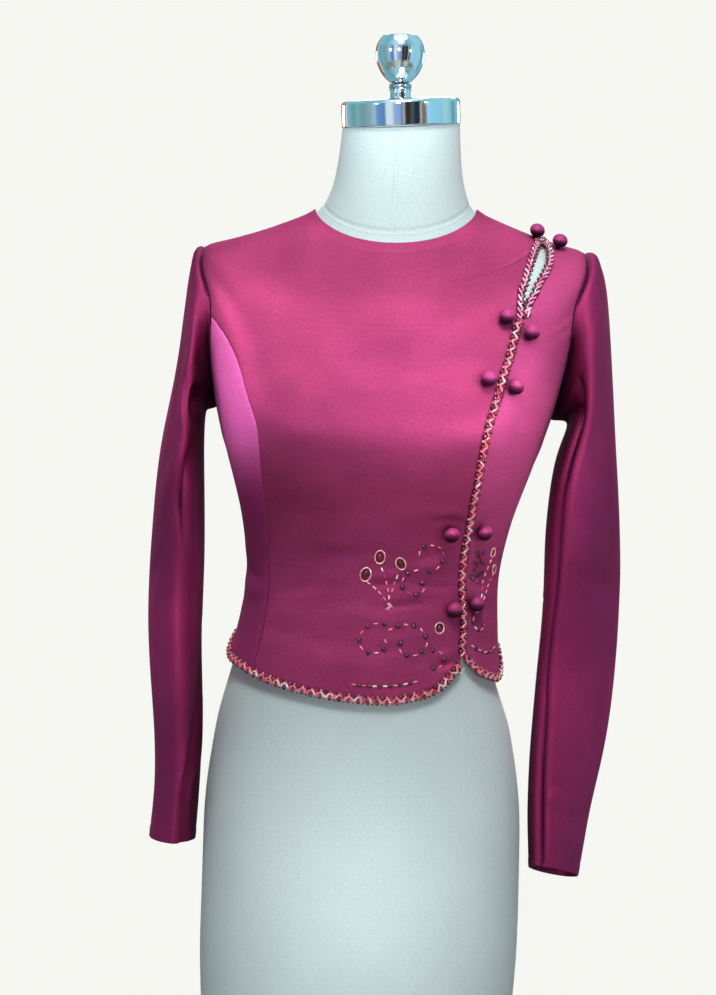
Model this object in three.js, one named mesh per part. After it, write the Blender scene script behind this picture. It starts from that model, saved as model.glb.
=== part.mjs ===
// Beaded silk blouse on a limbless dress form.
// Millimetres, +Z up, origin at the centre of the form's flat base.
// The blouse faces -Y. "Right" and "left" are the wearer's: the wearer's right sleeve is at -X.
// Every cloth piece is a thin wall cut from one shared torso surface, a seam gap apart from its neighbours.
import * as THREE from "three";

// ---- driving dimensions ----
const CLOTH_WALL = 1.4;        // double-layer satin with its turnings
const SEAM_GAP = 0.3;          // between neighbouring pieces
const TRIM_RADIUS = 2.1;       // braid of bugle beads
const TRIM_LIFT = 0.95;        // clearance between a braid and the panel under it
const BUTTON_RADIUS = 7.2;     // covered ball button
const BUTTON_HEIGHT = 13.0;    // base to crown
const BUTTON_LIFT = 0.7;
const WAIST = 425;             // waist level; the rows below it fan out to the shaped hem
const ARMHOLE_MID = 654.25;    // level of the armhole's middle
const ARMHOLE_HALF = 74.75;    // half of its height
const ARMHOLE_BACK = 30;       // how far it bites into the back, degrees
const SHOULDER_TIP = ARMHOLE_MID + ARMHOLE_HALF;
const UNDERARM = ARMHOLE_MID - ARMHOLE_HALF;
const NECKLINE = 767;          // level of the neckline ring at the side of the neck
const FORM_TOP = 846;          // level of the neck's top face
const CAP_HEIGHT = 24.5;
const CAP_RADIUS = 55.2;
const BUST_PHI = 33;           // degrees from centre front to the fullest point
const BUST_IN = 26;            // spread towards centre front, degrees
const BUST_OUT = 20;           // spread towards the side, degrees

// Torso sections. s: ring level on the side ridge; a: half width; f, b: depth in front and behind;
// n: squareness; dropF, dropB: how far the ring dips at centre front and back; q: shape of that dip;
// bust: fullness; sway: sideways shift; tilt: sideways slope in degrees; ease: gap from form to cloth.
const SECTION_COLUMNS = ["s", "a", "f", "b", "n", "dropF", "dropB", "q", "bust", "sway", "tilt", "ease"];
const SECTIONS = [
  [0, 142, 94, 110, 2.30, 0, 0, 2.0, 0, 0.0, 0.0, 2.2],
  [100, 147, 98, 117, 2.30, 0, 0, 2.0, 0, 0.0, 0.0, 2.2],
  [200, 146.5, 100, 118, 2.30, 0, 0, 2.0, 0, -1.0, 0.0, 2.2],
  [290, 136, 98, 105, 2.30, 0, 0, 2.0, 0, -3.0, 0.0, 4.5],
  [340, 121.5, 93, 92, 2.25, 0, 0, 2.0, 0, -5.5, 0.0, 5.5],
  [380, 115, 87, 82, 2.20, 0, 0, 2.0, 0, -2.0, 0.0, 4.0],
  [425, 113, 82, 75, 2.20, 0, 0, 2.0, 0, 0.0, 0.0, 2.4],
  [475, 120, 87.2, 77, 2.25, 0, 0, 2.0, 6, 1.5, 0.0, 2.2],
  [520, 133, 98.5, 83, 2.35, 0, 0, 2.0, 20, 3.0, 0.0, 2.2],
  [560, 146, 107, 89, 2.55, 0, 0, 2.0, 25, 4.0, 0.0, 2.2],
  [590, 154, 106.5, 92, 2.80, 0, 0, 2.0, 18, 5.0, 0.2, 2.2],
  [630, 163, 104.5, 94.2, 3.10, 16, 10, 2.0, 9, 6.5, 0.4, 2.2],
  [670, 170, 102, 95, 3.20, 36, 26, 2.0, 4, 8.0, 0.8, 2.2],
  [700, 175, 98.2, 92.6, 3.10, 52, 38, 2.0, 1, 8.5, 1.1, 2.5],
  [720, 178, 95.6, 90, 2.90, 64, 46, 1.9, 0, 9.0, 1.2, 2.6],
  [729, 173, 91.8, 86.2, 2.80, 63, 45, 1.8, 0, 9.0, 1.2, 2.6],
  [735, 151, 86, 81.5, 2.65, 56, 38, 1.7, 0, 9.0, 1.2, 2.5],
  [750, 108, 73, 69, 2.35, 46, 26, 1.5, 0, 9.0, 1.5, 2.2],
  [767, 73, 59.5, 55, 2.15, 38, 12, 1.3, 0, 9.0, 2.0, 2.0],
  [775, 67, 55, 51, 2.10, 31, 8, 1.4, 0, 9.5, 2.5, 2.0],
  [795, 60, 52, 48, 2.05, 19, -1, 1.6, 0, 10.0, 3.5, 2.0],
  [820, 56.5, 51, 48, 2.05, 11, -6, 1.3, 0, 10.5, 4.3, 2.0],
  [846, 54.5, 51, 49, 2.00, 9, -8.647, 1.0, 0, 11.0, 4.6, 2.0],
];

// Seam and edge lines, each a short table of angle against level. phi: degrees from centre front, + towards +X.
const PRINCESS = [ // level, phi: right side-front seam, hem to armhole
  [330, -47.8], [343, -48.4], [377, -50.3], [413, -51.2], [440, -52.4], [468, -50.3], [505, -47.3],
  [544, -43.7], [559, -43.0], [590, -44.8], [630, -46.1], [646, -47.9], [660, -50.5], [669, -53.9], [674.3, -57.6],
];
const OPENING = [ // level, phi: side-front opening, hem to the foot of the keyhole
  [330, 42.6], [362, 42.8], [393, 43.6], [425, 41.9], [458, 40.2], [486, 38.6], [513, 36.5], [544, 34.6],
  [568, 34.2], [594, 34.6], [627, 34.3], [665, 34.3], [688, 34.4], [700, 34.9],
];
const KEYHOLE_INNER = [ // level, phi: the edge nearer centre front
  [700, 34.7], [712, 34.4], [719.3, 34.3], [724.1, 34.8], [728.3, 35.9], [731.3, 38.2], [733.4, 42.1], [735.7, 46.8],
  [737.8, 52.4], [739.5, 58.7], [740.5, 67.1], [740.8, 75.6], [741.0, 83], [741.2, 90],
];
const KEYHOLE_OUTER = [ // level, phi: the edge nearer the armhole
  [700, 35.2], [705.2, 36.4], [715.8, 37.7], [721.3, 38.6], [725.1, 39.9], [728.2, 42.3], [730.5, 45], [732, 48.7],
  [733.2, 53.3], [734.5, 59.1], [736, 65.2], [737.1, 70.3], [738.9, 77.5], [740.2, 84], [740.8, 88],
];
const ARMHOLE_FRONT = [ // angle round the armhole from its top, bite into the front in degrees
  [0, 0], [12, 13.7], [28, 25], [43, 30.5], [60, 33.3], [74, 32.2], [93, 28.7], [113, 24.5], [132, 19.3], [149, 12.8], [162, 7.2], [180, 0],
];
const HEM = [ // phi, level
  [-180, 366], [-150, 367], [-120, 369], [-100, 367], [-90, 360.5], [-80, 353.5], [-70, 348.5], [-55, 342.2], [-43.3, 335.5], [-34, 330.9],
  [-25.2, 327.1], [-9.3, 322.2], [8.1, 320.2], [21.8, 325.2], [30.4, 332.2], [36.4, 342.7], [40.9, 352.1], [43, 360.1],
  [47.8, 352.7], [52.4, 346.2], [59.6, 341.1], [66.7, 338.8], [76, 343], [84, 351], [92, 360], [102, 367], [120, 369], [150, 367], [180, 366],
];
// Levels of the cloth rows above the waist, and the fractions of the way up from hem to waist below it.
const HEM_FRACTIONS = [0, 0.25, 0.5, 0.75];
const ROWS = [425, 452, 480, 506, 532, 556, 579.5, 580.7, 584, 591, 604, 622, 642, 656, 667, 672, 674.3, 688,
  700, 707, 714, 719.3, 722.5, 725.3, 727.3, 728.5, 729, 730.4, 731.6, 733.2, 734.6, 736, 737.5, 739, 740.1, 740.6, 740.9, 741.2,
  746, 752, 759, 767];
const BACK_ROWS = [425, 455, 490, 525, 556, 579.5, 580.7, 584, 591, 604, 625, 650, 676, 697, 712, 720, 725.3, 727.8,
  729, 731.6, 735, 739, 743.5, 750, 758, 767];

// Sleeve rings, armhole to cuff. out, in: the ring's outer and inner points in X (size only) and Z;
// front, back: its Y reach; lean: how far the front fold leans towards the body; rise: front of the ring
// above its back; pinch: 1 is an ellipse, more is creased front and back; dent: hollow behind the front
// fold; hold: how much of the armhole's own outline is left in the ring.
const SLEEVE_COLUMNS = ["outX", "outZ", "inX", "inZ", "front", "back", "lean", "rise", "pinch", "dent", "hold"];
const SLEEVE_RIGHT = [
  [167, 726, 152.5, 580, -62, 50, 0, 0, 1.0, 0, 1],
  [172, 725, 156, 578.5, -62.5, 52, 0, 0, 1.0, 0, 0.55],
  [176.5, 713, 158.5, 577.5, -63, 54, 0, 0, 1.0, 0, 0.25],
  [180, 691, 160, 576, -63, 56, 0.05, 0, 1.0, 0, 0.07],
  [183, 662, 160.8, 573.5, -63, 57, 0.12, 0, 1.02, 1, 0],
  [186.5, 630, 161, 569.5, -62.5, 58, 0.20, 0, 1.04, 2, 0],
  [191, 600, 161, 563, -62, 58, 0.25, 0, 1.06, 4, 0],
  [196, 572, 160.5, 552, -62, 58, 0.28, 0, 1.08, 5, 0],
  [200.5, 544, 159.5, 534, -62.5, 58, 0.30, 0, 1.10, 5, 0],
  [204, 508, 158.5, 508, -63, 56, 0.30, 0, 1.10, 4, 0],
  [206, 470, 157, 470, -63.5, 53, 0.30, 0, 1.10, 3, 0],
  [207, 430, 155.5, 430, -64, 48, 0.30, 0, 1.10, 2, 0],
  [206.5, 392, 155, 392, -64, 44, 0.30, 0, 1.10, 2, 0],
  [203.5, 350, 154, 350, -63, 38, 0.30, 0, 1.10, 3, 0],
  [199, 310, 152, 310, -61, 33, 0.28, 0, 1.10, 4, 0],
  [195, 268, 151.5, 268, -58, 28, 0.25, 0, 1.10, 6, 0],
  [193.5, 228, 152, 228, -56, 24, 0.22, 0, 1.10, 6, 0],
  [196, 181, 153.5, 181, -54, 21, 0.20, 0, 1.08, 5, 0],
];
const SLEEVE_LEFT = [
  [184.5, 733, 161, 581.5, -62, 50, 0, 0, 1.0, 0, 1],
  [192, 733, 164, 580, -62.5, 52, 0, 0, 1.0, 0, 0.5],
  [200, 722, 168, 579.5, -63, 54, 0.05, 0, 1.0, 0, 0.22],
  [206, 702, 171.5, 579, -63, 55, 0.10, 0, 1.0, 0, 0.07],
  [210.5, 674, 173.5, 578, -62.5, 55, 0.18, 0, 1.0, 0, 0],
  [214, 644, 175, 576, -62, 55, 0.30, 0, 1.02, 0, 0],
  [218, 612, 174.5, 572, -61, 54, 0.45, 0, 1.04, 0, 0],
  [221.5, 580, 170, 561, -60, 53, 0.55, 0, 1.06, 1, 0],
  [224.5, 548, 163, 542, -59, 52, 0.62, 0, 1.08, 2, 0],
  [228, 511, 158.5, 511, -58, 51, 0.65, 0, 1.08, 2, 0],
  [231.5, 473, 156.5, 473, -57, 50, 0.66, 0, 1.08, 2, 0],
  [233.5, 434, 156, 434, -56, 49, 0.70, 0, 1.08, 2, 0],
  [233.2, 394, 155, 394, -54.5, 46, 0.78, 0, 1.08, 2, 0],
  [231.2, 350, 152.3, 350, -53, 42, 0.80, 0, 1.08, 2, 0],
  [227.5, 306, 150.5, 306, -52, 36, 0.76, 0, 1.08, 2, 0],
  [220.5, 264, 149, 264, -50.5, 31, 0.68, 0, 1.08, 2, 0],
  [210.5, 216, 150.3, 216, -48.5, 26, 0.58, 3, 1.08, 1, 0],
  [201.5, 159, 153.5, 164, -47, 24, 0.50, 9, 1.08, 0, 0],
];
const SLEEVE_POINTS = 24;

// Button seats on the torso surface: phi, level.
const BUTTONS = {
  shoulder_inner: [80.0, 742.6], shoulder_outer: [74.7, 735.4],
  chest_inner: [30.9, 711.5], chest_outer: [38.4, 679.4],
  bust_inner: [29.9, 610.7], bust_outer: [38.0, 604.9],
  waist_inner: [30.3, 475.9], waist_outer: [44.9, 478.0],
  hem_inner: [36.4, 403.0], hem_outer: [48.4, 408.9],
};

// ---- small maths ----
const RAD = Math.PI / 180;
const lerp = (a, b, t) => a + (b - a) * t;
// Shape-preserving cubic through a table's (x, y) pairs.
function smoothTable(xs, ys) {
  const n = xs.length, h = [], d = [], m = new Array(n).fill(0);
  for (let i = 0; i < n - 1; i++) { h.push(xs[i + 1] - xs[i]); d.push((ys[i + 1] - ys[i]) / h[i]); }
  for (let i = 1; i < n - 1; i++) {
    if (d[i - 1] * d[i] > 0) {
      const w1 = 2 * h[i] + h[i - 1], w2 = h[i] + 2 * h[i - 1];
      m[i] = (w1 + w2) / (w1 / d[i - 1] + w2 / d[i]);
    }
  }
  m[0] = d[0]; m[n - 1] = d[n - 2];
  return (x) => {
    let i = 0;
    while (i < n - 2 && x >= xs[i + 1]) i++;
    const u = Math.min(1, Math.max(0, (x - xs[i]) / h[i])), v = 1 - u;
    return ys[i] * (1 + 2 * u) * v * v + m[i] * h[i] * u * v * v + ys[i + 1] * u * u * (3 - 2 * u) + m[i + 1] * h[i] * u * u * (u - 1);
  };
}
const fromPairs = (rows) => smoothTable(rows.map((r) => r[0]), rows.map((r) => r[1]));
const section = {};
SECTION_COLUMNS.forEach((name, c) => { section[name] = smoothTable(SECTIONS.map((r) => r[0]), SECTIONS.map((r) => r[c])); });
const princess = fromPairs(PRINCESS), opening = fromPairs(OPENING), hem = fromPairs(HEM);
const keyInner = fromPairs(KEYHOLE_INNER), keyOuter = fromPairs(KEYHOLE_OUTER), biteFront = fromPairs(ARMHOLE_FRONT);

// ---- the shared torso surface ----
function form(phi, s) {
  const p = phi * RAD, si = Math.sin(p), co = Math.cos(p), n = section.n(s);
  const k = Math.pow(Math.pow(Math.abs(si), n) + Math.pow(Math.abs(co), n), -1 / n);
  const front = co >= 0;
  const x = section.a(s) * si * k;
  let y = front ? -section.f(s) * co * k : section.b(s) * -co * k;
  const ap = Math.abs(((phi + 180) % 360 + 360) % 360 - 180);
  const spread = ap < BUST_PHI ? BUST_IN : BUST_OUT;
  const g = Math.exp(-(((ap - BUST_PHI) / spread) ** 2)) + Math.exp(-(((ap + BUST_PHI) / BUST_IN) ** 2));
  if (front) y -= section.bust(s) * g * Math.min(1, Math.max(0, co * 2.2));
  const drop = section[front ? "dropF" : "dropB"](s) * Math.pow(Math.abs(co * k), section.q(s));
  return new THREE.Vector3(x + section.sway(s), y, s - drop + Math.tan(section.tilt(s) * RAD) * x);
}
function normal(phi, s, e = 0.25) {
  const du = form(phi + e, s).sub(form(phi - e, s));
  const dv = form(phi, Math.min(FORM_TOP, s + e)).sub(form(phi, Math.max(0, s - e)));
  return du.cross(dv).normalize();
}
const torso = (phi, s, off) => form(phi, s).addScaledVector(normal(phi, s), off);
const cloth = (phi, s, off) => torso(phi, s, section.ease(s) + off);
const mmPerDegree = (phi, s) => form(phi + 0.5, s).distanceTo(form(phi - 0.5, s));

// ---- solids from grids ----
// A closed wall between two grids of points; `round` closes the grid on itself across its columns.
function wallGeometry(outer, inner, round, flip) {
  const rows = outer.length, cols = outer[0].length, pos = [], idx = [];
  for (const grid of [outer, inner]) for (const row of grid) for (const p of row) pos.push(p.x, p.y, p.z);
  const O = (j, i) => j * cols + (i % cols), I = (j, i) => rows * cols + j * cols + (i % cols);
  const quad = (a, b, c, d) => idx.push(a, b, c, a, c, d);
  const across = round ? cols : cols - 1;
  for (let j = 0; j < rows - 1; j++) for (let i = 0; i < across; i++) {
    quad(O(j, i), O(j, i + 1), O(j + 1, i + 1), O(j + 1, i));
    quad(I(j, i), I(j + 1, i), I(j + 1, i + 1), I(j, i + 1));
  }
  for (let i = 0; i < across; i++) {
    quad(O(0, i), I(0, i), I(0, i + 1), O(0, i + 1));
    quad(O(rows - 1, i + 1), I(rows - 1, i + 1), I(rows - 1, i), O(rows - 1, i));
  }
  if (!round) for (let j = 0; j < rows - 1; j++) {
    quad(O(j + 1, 0), I(j + 1, 0), I(j, 0), O(j, 0));
    quad(O(j, cols - 1), I(j, cols - 1), I(j + 1, cols - 1), O(j + 1, cols - 1));
  }
  if (flip) for (let t = 0; t < idx.length; t += 3) [idx[t + 1], idx[t + 2]] = [idx[t + 2], idx[t + 1]];
  return finish(pos, idx);
}
// A solid of stacked rings, closed by a fan at each end.
function ringSolid(rings) {
  const n = rings[0].length, pos = [], idx = [];
  for (const ring of rings) for (const p of ring) pos.push(p.x, p.y, p.z);
  for (let j = 0; j < rings.length - 1; j++) for (let i = 0; i < n; i++) {
    const a = j * n + i, b = j * n + (i + 1) % n;
    idx.push(a, b, b + n, a, b + n, a + n);
  }
  for (const [j, up] of [[0, false], [rings.length - 1, true]]) {
    const c = new THREE.Vector3();
    for (const p of rings[j]) c.addScaledVector(p, 1 / n);
    const k = pos.length / 3;
    pos.push(c.x, c.y, c.z);
    for (let i = 0; i < n; i++) {
      const a = j * n + i, b = j * n + (i + 1) % n;
      if (up) idx.push(a, b, k); else idx.push(b, a, k);
    }
  }
  return finish(pos, idx);
}
function finish(pos, idx) {
  const g = new THREE.BufferGeometry();
  g.setAttribute("position", new THREE.Float32BufferAttribute(pos, 3));
  g.setIndex(idx);
  g.computeVertexNormals();
  return g;
}

// ---- cloth panels ----
const hemAt = (phi) => hem(((phi + 180) % 360 + 360) % 360 - 180);
// left(s), right(s): the panel's edge angles; the rows run from the hem up to `top`.
// Half a seam gap as an angle, wider where the edge runs obliquely across the rows.
function seamInset(edge, s) {
  const mm = mmPerDegree(edge(s), s), slant = ((edge(s + 1) - edge(s - 1)) / 2) * mm;
  return ((SEAM_GAP / 2) * Math.min(3, Math.sqrt(1 + slant * slant))) / mm;
}
function panel({ left, right, columns, top, levels = ROWS }) {
  const rows = [];
  const line = (level, fraction) => {
    const s0 = fraction === undefined ? level : lerp(345, WAIST, fraction);
    const l = left(s0), r = right(s0);
    const gl = seamInset(left, s0), gr = seamInset(right, s0);
    const row = [];
    for (let i = 0; i < columns; i++) {
      const phi = lerp(l + gl, r - gr, i / (columns - 1));
      row.push([phi, fraction === undefined ? level : lerp(hemAt(phi), WAIST, fraction)]);
    }
    rows.push(row);
  };
  for (const f of HEM_FRACTIONS) line(0, f);
  for (const s of levels) if (s <= top) line(s);
  const grid = (off) => rows.map((row) => row.map(([phi, s]) => cloth(phi, s, off)));
  return wallGeometry(grid(CLOTH_WALL), grid(0), false, false);
}
const armholeTurn = (s) => Math.acos(Math.min(1, Math.max(-1, (s - ARMHOLE_MID) / ARMHOLE_HALF)));
const inArmhole = (s) => s > UNDERARM && s < SHOULDER_TIP;
const frontEdge = (s) => 90 - (inArmhole(s) ? biteFront(armholeTurn(s) / RAD) : 0);
const backEdge = (s) => 90 + (inArmhole(s) ? ARMHOLE_BACK * Math.pow(Math.sin(armholeTurn(s)), 0.8) : 0);
const PRINCESS_TOP = 674.3, KEYHOLE_FOOT = 700;

const frontMain = panel({
  left: (s) => (s < PRINCESS_TOP ? princess(s) : -frontEdge(s)),
  right: (s) => (s <= KEYHOLE_FOOT ? opening(s) : Math.min(90, keyInner(s))),
  columns: 15, top: NECKLINE,
});
const sideFrontRight = panel({ left: (s) => -frontEdge(s), right: princess, columns: 5, top: 672.5 });
const frontLeft = panel({
  left: (s) => (s <= KEYHOLE_FOOT ? opening(s) : keyOuter(s)), right: frontEdge,
  columns: 7, top: 740.6,
});
const backPanel = panel({ left: backEdge, right: (s) => 360 - backEdge(s), columns: 17, top: NECKLINE, levels: BACK_ROWS });

// ---- sleeves ----
function sleeve(table, side) {
  const col = (row, name) => row[SLEEVE_COLUMNS.indexOf(name)];
  const loopHalf = ARMHOLE_HALF - 1.1;
  const loop = (turn) => {
    const t = turn * RAD, s = ARMHOLE_MID + loopHalf * Math.cos(t), si = Math.sin(t);
    const inset = 0.95 * Math.pow(Math.abs(si), 0.4);
    const bite = si >= 0 ? Math.max(0, biteFront(turn) - inset) : -Math.max(0, ARMHOLE_BACK * Math.pow(-si, 0.8) - inset);
    return cloth(side * (90 - bite), s, CLOTH_WALL * 0.8);
  };
  const planar = (row, turn) => {
    const t = turn * RAD, c = Math.cos(t), si = Math.sin(t);
    const cx = Math.sign(c) * Math.pow(Math.abs(c), col(row, "pinch"));
    const lean = col(row, "lean");
    let u = (cx - lean * si) / Math.sqrt(1 + lean * lean);
    const oX = col(row, "outX"), oZ = col(row, "outZ"), iX = col(row, "inX"), iZ = col(row, "inZ");
    const len = Math.hypot(oX - iX, oZ - iZ);
    u += (col(row, "dent") * Math.exp(-(((turn - 135) / 24) ** 2))) / (len / 2);
    const yc = (col(row, "front") + col(row, "back")) / 2, yh = (col(row, "back") - col(row, "front")) / 2;
    return new THREE.Vector3(side * (lerp(iX, oX, (1 + u) / 2)), yc - yh * si, lerp(iZ, oZ, (1 + u) / 2) + col(row, "rise") * si);
  };
  const N = SLEEVE_POINTS;
  const mid = table.map((row) => {
    const ring = [];
    for (let i = 0; i < N; i++) {
      const turn = (360 * i) / N;
      const p = planar(row, turn);
      const hold = col(row, "hold");
      if (hold > 0) p.add(loop(turn).sub(planar(table[0], turn)).multiplyScalar(hold));
      ring.push(p);
    }
    return ring;
  });
  const offset = (off) => mid.map((ring, j) => ring.map((p, i) => {
    const du = ring[(i + 1) % N].clone().sub(ring[(i + N - 1) % N]);
    const dv = mid[Math.min(mid.length - 1, j + 1)][i].clone().sub(mid[Math.max(0, j - 1)][i]);
    return p.clone().addScaledVector(du.cross(dv).normalize(), off * side);
  }));
  return wallGeometry(offset(CLOTH_WALL / 2), offset(-CLOTH_WALL / 2), true, side < 0);
}

// ---- braids, buttons ----
function braid(points, step) {
  const curve = new THREE.CatmullRomCurve3(points, false, "centripetal");
  const outline = new THREE.Shape();
  for (let i = 0; i < 6; i++) {
    const t = (i / 6) * Math.PI * 2, x = TRIM_RADIUS * Math.cos(t), y = TRIM_RADIUS * Math.sin(t);
    if (i === 0) outline.moveTo(x, y); else outline.lineTo(x, y);
  }
  outline.closePath();
  return new THREE.ExtrudeGeometry(outline, { steps: Math.max(4, Math.round(curve.getLength() / step)), extrudePath: curve, bevelEnabled: false });
}
const onPanel = ([phi, s]) => cloth(phi, s, CLOTH_WALL + TRIM_LIFT + TRIM_RADIUS + (s > 724 ? 0.5 : 0));
const steps = (a, b, n) => Array.from({ length: n + 1 }, (_, i) => lerp(a, b, i / n));
const openingPath = [
  ...steps(367, 700, 30).map((s) => [opening(s), s]),
  ...[708, 716, 722, 726.5, 729.5, 731.6, 733.3, 735, 736.6, 738, 739.2, 740].map((s) => [keyInner(s), s]),
];
const keyholePath = [712, 717, 721, 724.5, 727.5, 729.7, 731.2, 732.3, 733.4, 734.3].map((s) => [keyOuter(s), s]);
const HEM_INSET = 0.6;
const hemPath = (a, b, n) => steps(a, b, n).map((phi) => [phi, hemAt(phi) + HEM_INSET]);

function buttonGeometry() {
  const r = BUTTON_RADIUS, h = BUTTON_HEIGHT;
  const profile = [[0, 0], [2.2, 0], [2.4, 1.0], [0.80 * r, 0.20 * h], [r, 0.50 * h], [0.80 * r, 0.82 * h], [0, h]];
  return new THREE.LatheGeometry(profile.map(([x, y]) => new THREE.Vector2(x, y)), 10);
}

// ---- dress form ----
const FORM_ROWS = [0, 60, 120, 180, 240, 290, 335, 375, 400, 425, 450, 485, 520, 550, 575, 605, 640, 675, 702, 720, 729, 735, 742, 750, 758, 767, 775, 786, 802, 824, 846];
const FORM_POINTS = 26;
const formBody = ringSolid(FORM_ROWS.map((s) => Array.from({ length: FORM_POINTS }, (_, i) => torso((360 * i) / FORM_POINTS, s, 0))));

// ---- materials ----
const satin = new THREE.MeshStandardMaterial({ color: 0xa83a72, roughness: 0.42, metalness: 0.0 });
const satinBall = new THREE.MeshStandardMaterial({ color: 0x9c3a74, roughness: 0.36, metalness: 0.0 });
const beads = new THREE.MeshStandardMaterial({ color: 0xb85a6c, roughness: 0.25, metalness: 0.6 });
const jersey = new THREE.MeshStandardMaterial({ color: 0xe6ebe6, roughness: 0.85, metalness: 0.0 });
const chrome = new THREE.MeshStandardMaterial({ color: 0xb9c4c6, roughness: 0.12, metalness: 1.0 });

// ---- assembly ----
const group = new THREE.Group();
const add = (name, geometry, material) => {
  const mesh = new THREE.Mesh(geometry, material);
  mesh.name = name;
  group.add(mesh);
  return mesh;
};
add("front_main", frontMain, satin);
add("side_front_right", sideFrontRight, satin);
add("front_left", frontLeft, satin);
add("back", backPanel, satin);
add("sleeve_right", sleeve(SLEEVE_RIGHT, -1), satin);
add("sleeve_left", sleeve(SLEEVE_LEFT, 1), satin);
add("trim_opening", braid(openingPath.map(onPanel), 12), beads);
add("trim_keyhole", braid(keyholePath.map(onPanel), 8), beads);
add("trim_hem_front", braid(hemPath(-88.5, 41.2, 24).map(onPanel), 11), beads);
add("trim_hem_left", braid(hemPath(44.8, 88, 10).map(onPanel), 10), beads);
add("trim_hem_back", braid(hemPath(92, 268, 26).map(onPanel), 13), beads);
for (const [name, [phi, s]] of Object.entries(BUTTONS)) {
  const mesh = add("button_" + name, buttonGeometry(), satinBall);
  mesh.position.copy(cloth(phi, s, CLOTH_WALL + BUTTON_LIFT));
  mesh.quaternion.setFromUnitVectors(new THREE.Vector3(0, 1, 0), normal(phi, s));
}
add("form_body", formBody, jersey);

// Neck cap: a polished disc lying on the sloping top of the neck.
const neckCentre = new THREE.Vector3(section.sway(FORM_TOP), (section.b(FORM_TOP) - section.f(FORM_TOP)) / 2, FORM_TOP);
const slopeX = Math.tan(section.tilt(FORM_TOP) * RAD), slopeY = section.dropF(FORM_TOP) / section.f(FORM_TOP);
neckCentre.z += slopeY * neckCentre.y;
const capAxis = new THREE.Vector3(-slopeX, -slopeY, 1).normalize();
const capProfile = [[0, 0], [CAP_RADIUS - 1.2, 0], [CAP_RADIUS, 1.2], [CAP_RADIUS, CAP_HEIGHT - 3.2], [CAP_RADIUS - 1.0, CAP_HEIGHT - 1.4], [CAP_RADIUS - 3.2, CAP_HEIGHT], [0, CAP_HEIGHT]];
const cap = add("neck_cap", new THREE.LatheGeometry(capProfile.map(([x, y]) => new THREE.Vector2(x, y)), 30), chrome);
cap.position.copy(neckCentre).addScaledVector(capAxis, 0.35);
cap.quaternion.setFromUnitVectors(new THREE.Vector3(0, 1, 0), capAxis);

// Knob: a flat-topped ball that tapers to a ringed stem, standing on the cap.
const knobAxis = new THREE.Vector3(-0.045, -slopeY, 1).normalize();
const stemBase = neckCentre.clone().addScaledVector(capAxis, 0.35 + CAP_HEIGHT + 0.75);
const STEM_HEIGHT = 13.6, BALL_RADIUS = 22.8;
const stemProfile = [[0, 0], [10.3, 0], [10.7, 1.6], [10.6, 6.6], [10.0, 8.4], [10.0, 9.2], [10.8, 10.4], [10.8, 12.6], [9.6, STEM_HEIGHT], [0, STEM_HEIGHT]];
const stem = add("knob_stem", new THREE.LatheGeometry(stemProfile.map(([x, y]) => new THREE.Vector2(x, y)), 14), chrome);
stem.position.copy(stemBase);
stem.quaternion.setFromUnitVectors(new THREE.Vector3(0, 1, 0), knobAxis);
const ballProfile = [[0, 0], [8.4, 0], [12.8, 3.6], [17.2, 8.8], [20.4, 15.2], [22.3, 21.3], [BALL_RADIUS, 27.3], [22.1, 33.0], [19.7, 38.8], [15.9, 43.5], [14.8, 44.3], [0, 44.3]];
const ball = add("knob_ball", new THREE.LatheGeometry(ballProfile.map(([x, y]) => new THREE.Vector2(x, y)), 18), chrome);
ball.position.copy(stemBase).addScaledVector(knobAxis, STEM_HEIGHT + 0.35);
ball.quaternion.setFromUnitVectors(new THREE.Vector3(0, 1, 0), knobAxis);

export default group;
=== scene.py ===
"""Beaded silk blouse on a limbless dress form: the looks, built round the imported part.
Millimetres in the geometry code, metres in Blender. +Z up, the blouse faces -Y, the wearer's left is +X."""
import math
import bpy
import numpy as np
from mathutils import Matrix, Vector
from mathutils.kdtree import KDTree


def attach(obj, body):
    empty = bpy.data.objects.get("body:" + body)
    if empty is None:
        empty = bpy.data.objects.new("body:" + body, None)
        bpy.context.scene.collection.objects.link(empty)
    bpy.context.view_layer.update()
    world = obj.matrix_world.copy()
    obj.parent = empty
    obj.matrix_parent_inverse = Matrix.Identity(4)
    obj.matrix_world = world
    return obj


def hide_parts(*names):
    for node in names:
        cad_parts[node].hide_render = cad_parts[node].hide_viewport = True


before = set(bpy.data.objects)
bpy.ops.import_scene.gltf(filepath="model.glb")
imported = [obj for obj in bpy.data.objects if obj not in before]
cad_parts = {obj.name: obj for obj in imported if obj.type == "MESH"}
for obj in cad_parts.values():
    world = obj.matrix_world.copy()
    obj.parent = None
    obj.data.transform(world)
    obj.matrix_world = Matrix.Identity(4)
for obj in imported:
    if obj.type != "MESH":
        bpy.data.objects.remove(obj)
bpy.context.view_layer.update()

# ------------------------------------------------------------------ the part's own dimensions
CLOTH_WALL = 1.4
SEAM_GAP = 0.3
WAIST = 425.0
ARMHOLE_MID = 654.25
ARMHOLE_HALF = 74.75
ARMHOLE_BACK = 30.0
SHOULDER_TIP = ARMHOLE_MID + ARMHOLE_HALF
UNDERARM = ARMHOLE_MID - ARMHOLE_HALF
NECKLINE = 767.0
FORM_TOP = 846.0
CAP_HEIGHT = 24.5
CAP_RADIUS = 55.2
BUST_PHI, BUST_IN, BUST_OUT = 33.0, 26.0, 20.0
BUTTON_RADIUS, BUTTON_HEIGHT, BUTTON_LIFT = 7.2, 13.0, 0.7
SECTION_COLUMNS = ["s", "a", "f", "b", "n", "dropF", "dropB", "q", "bust", "sway", "tilt", "ease"]
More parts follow.
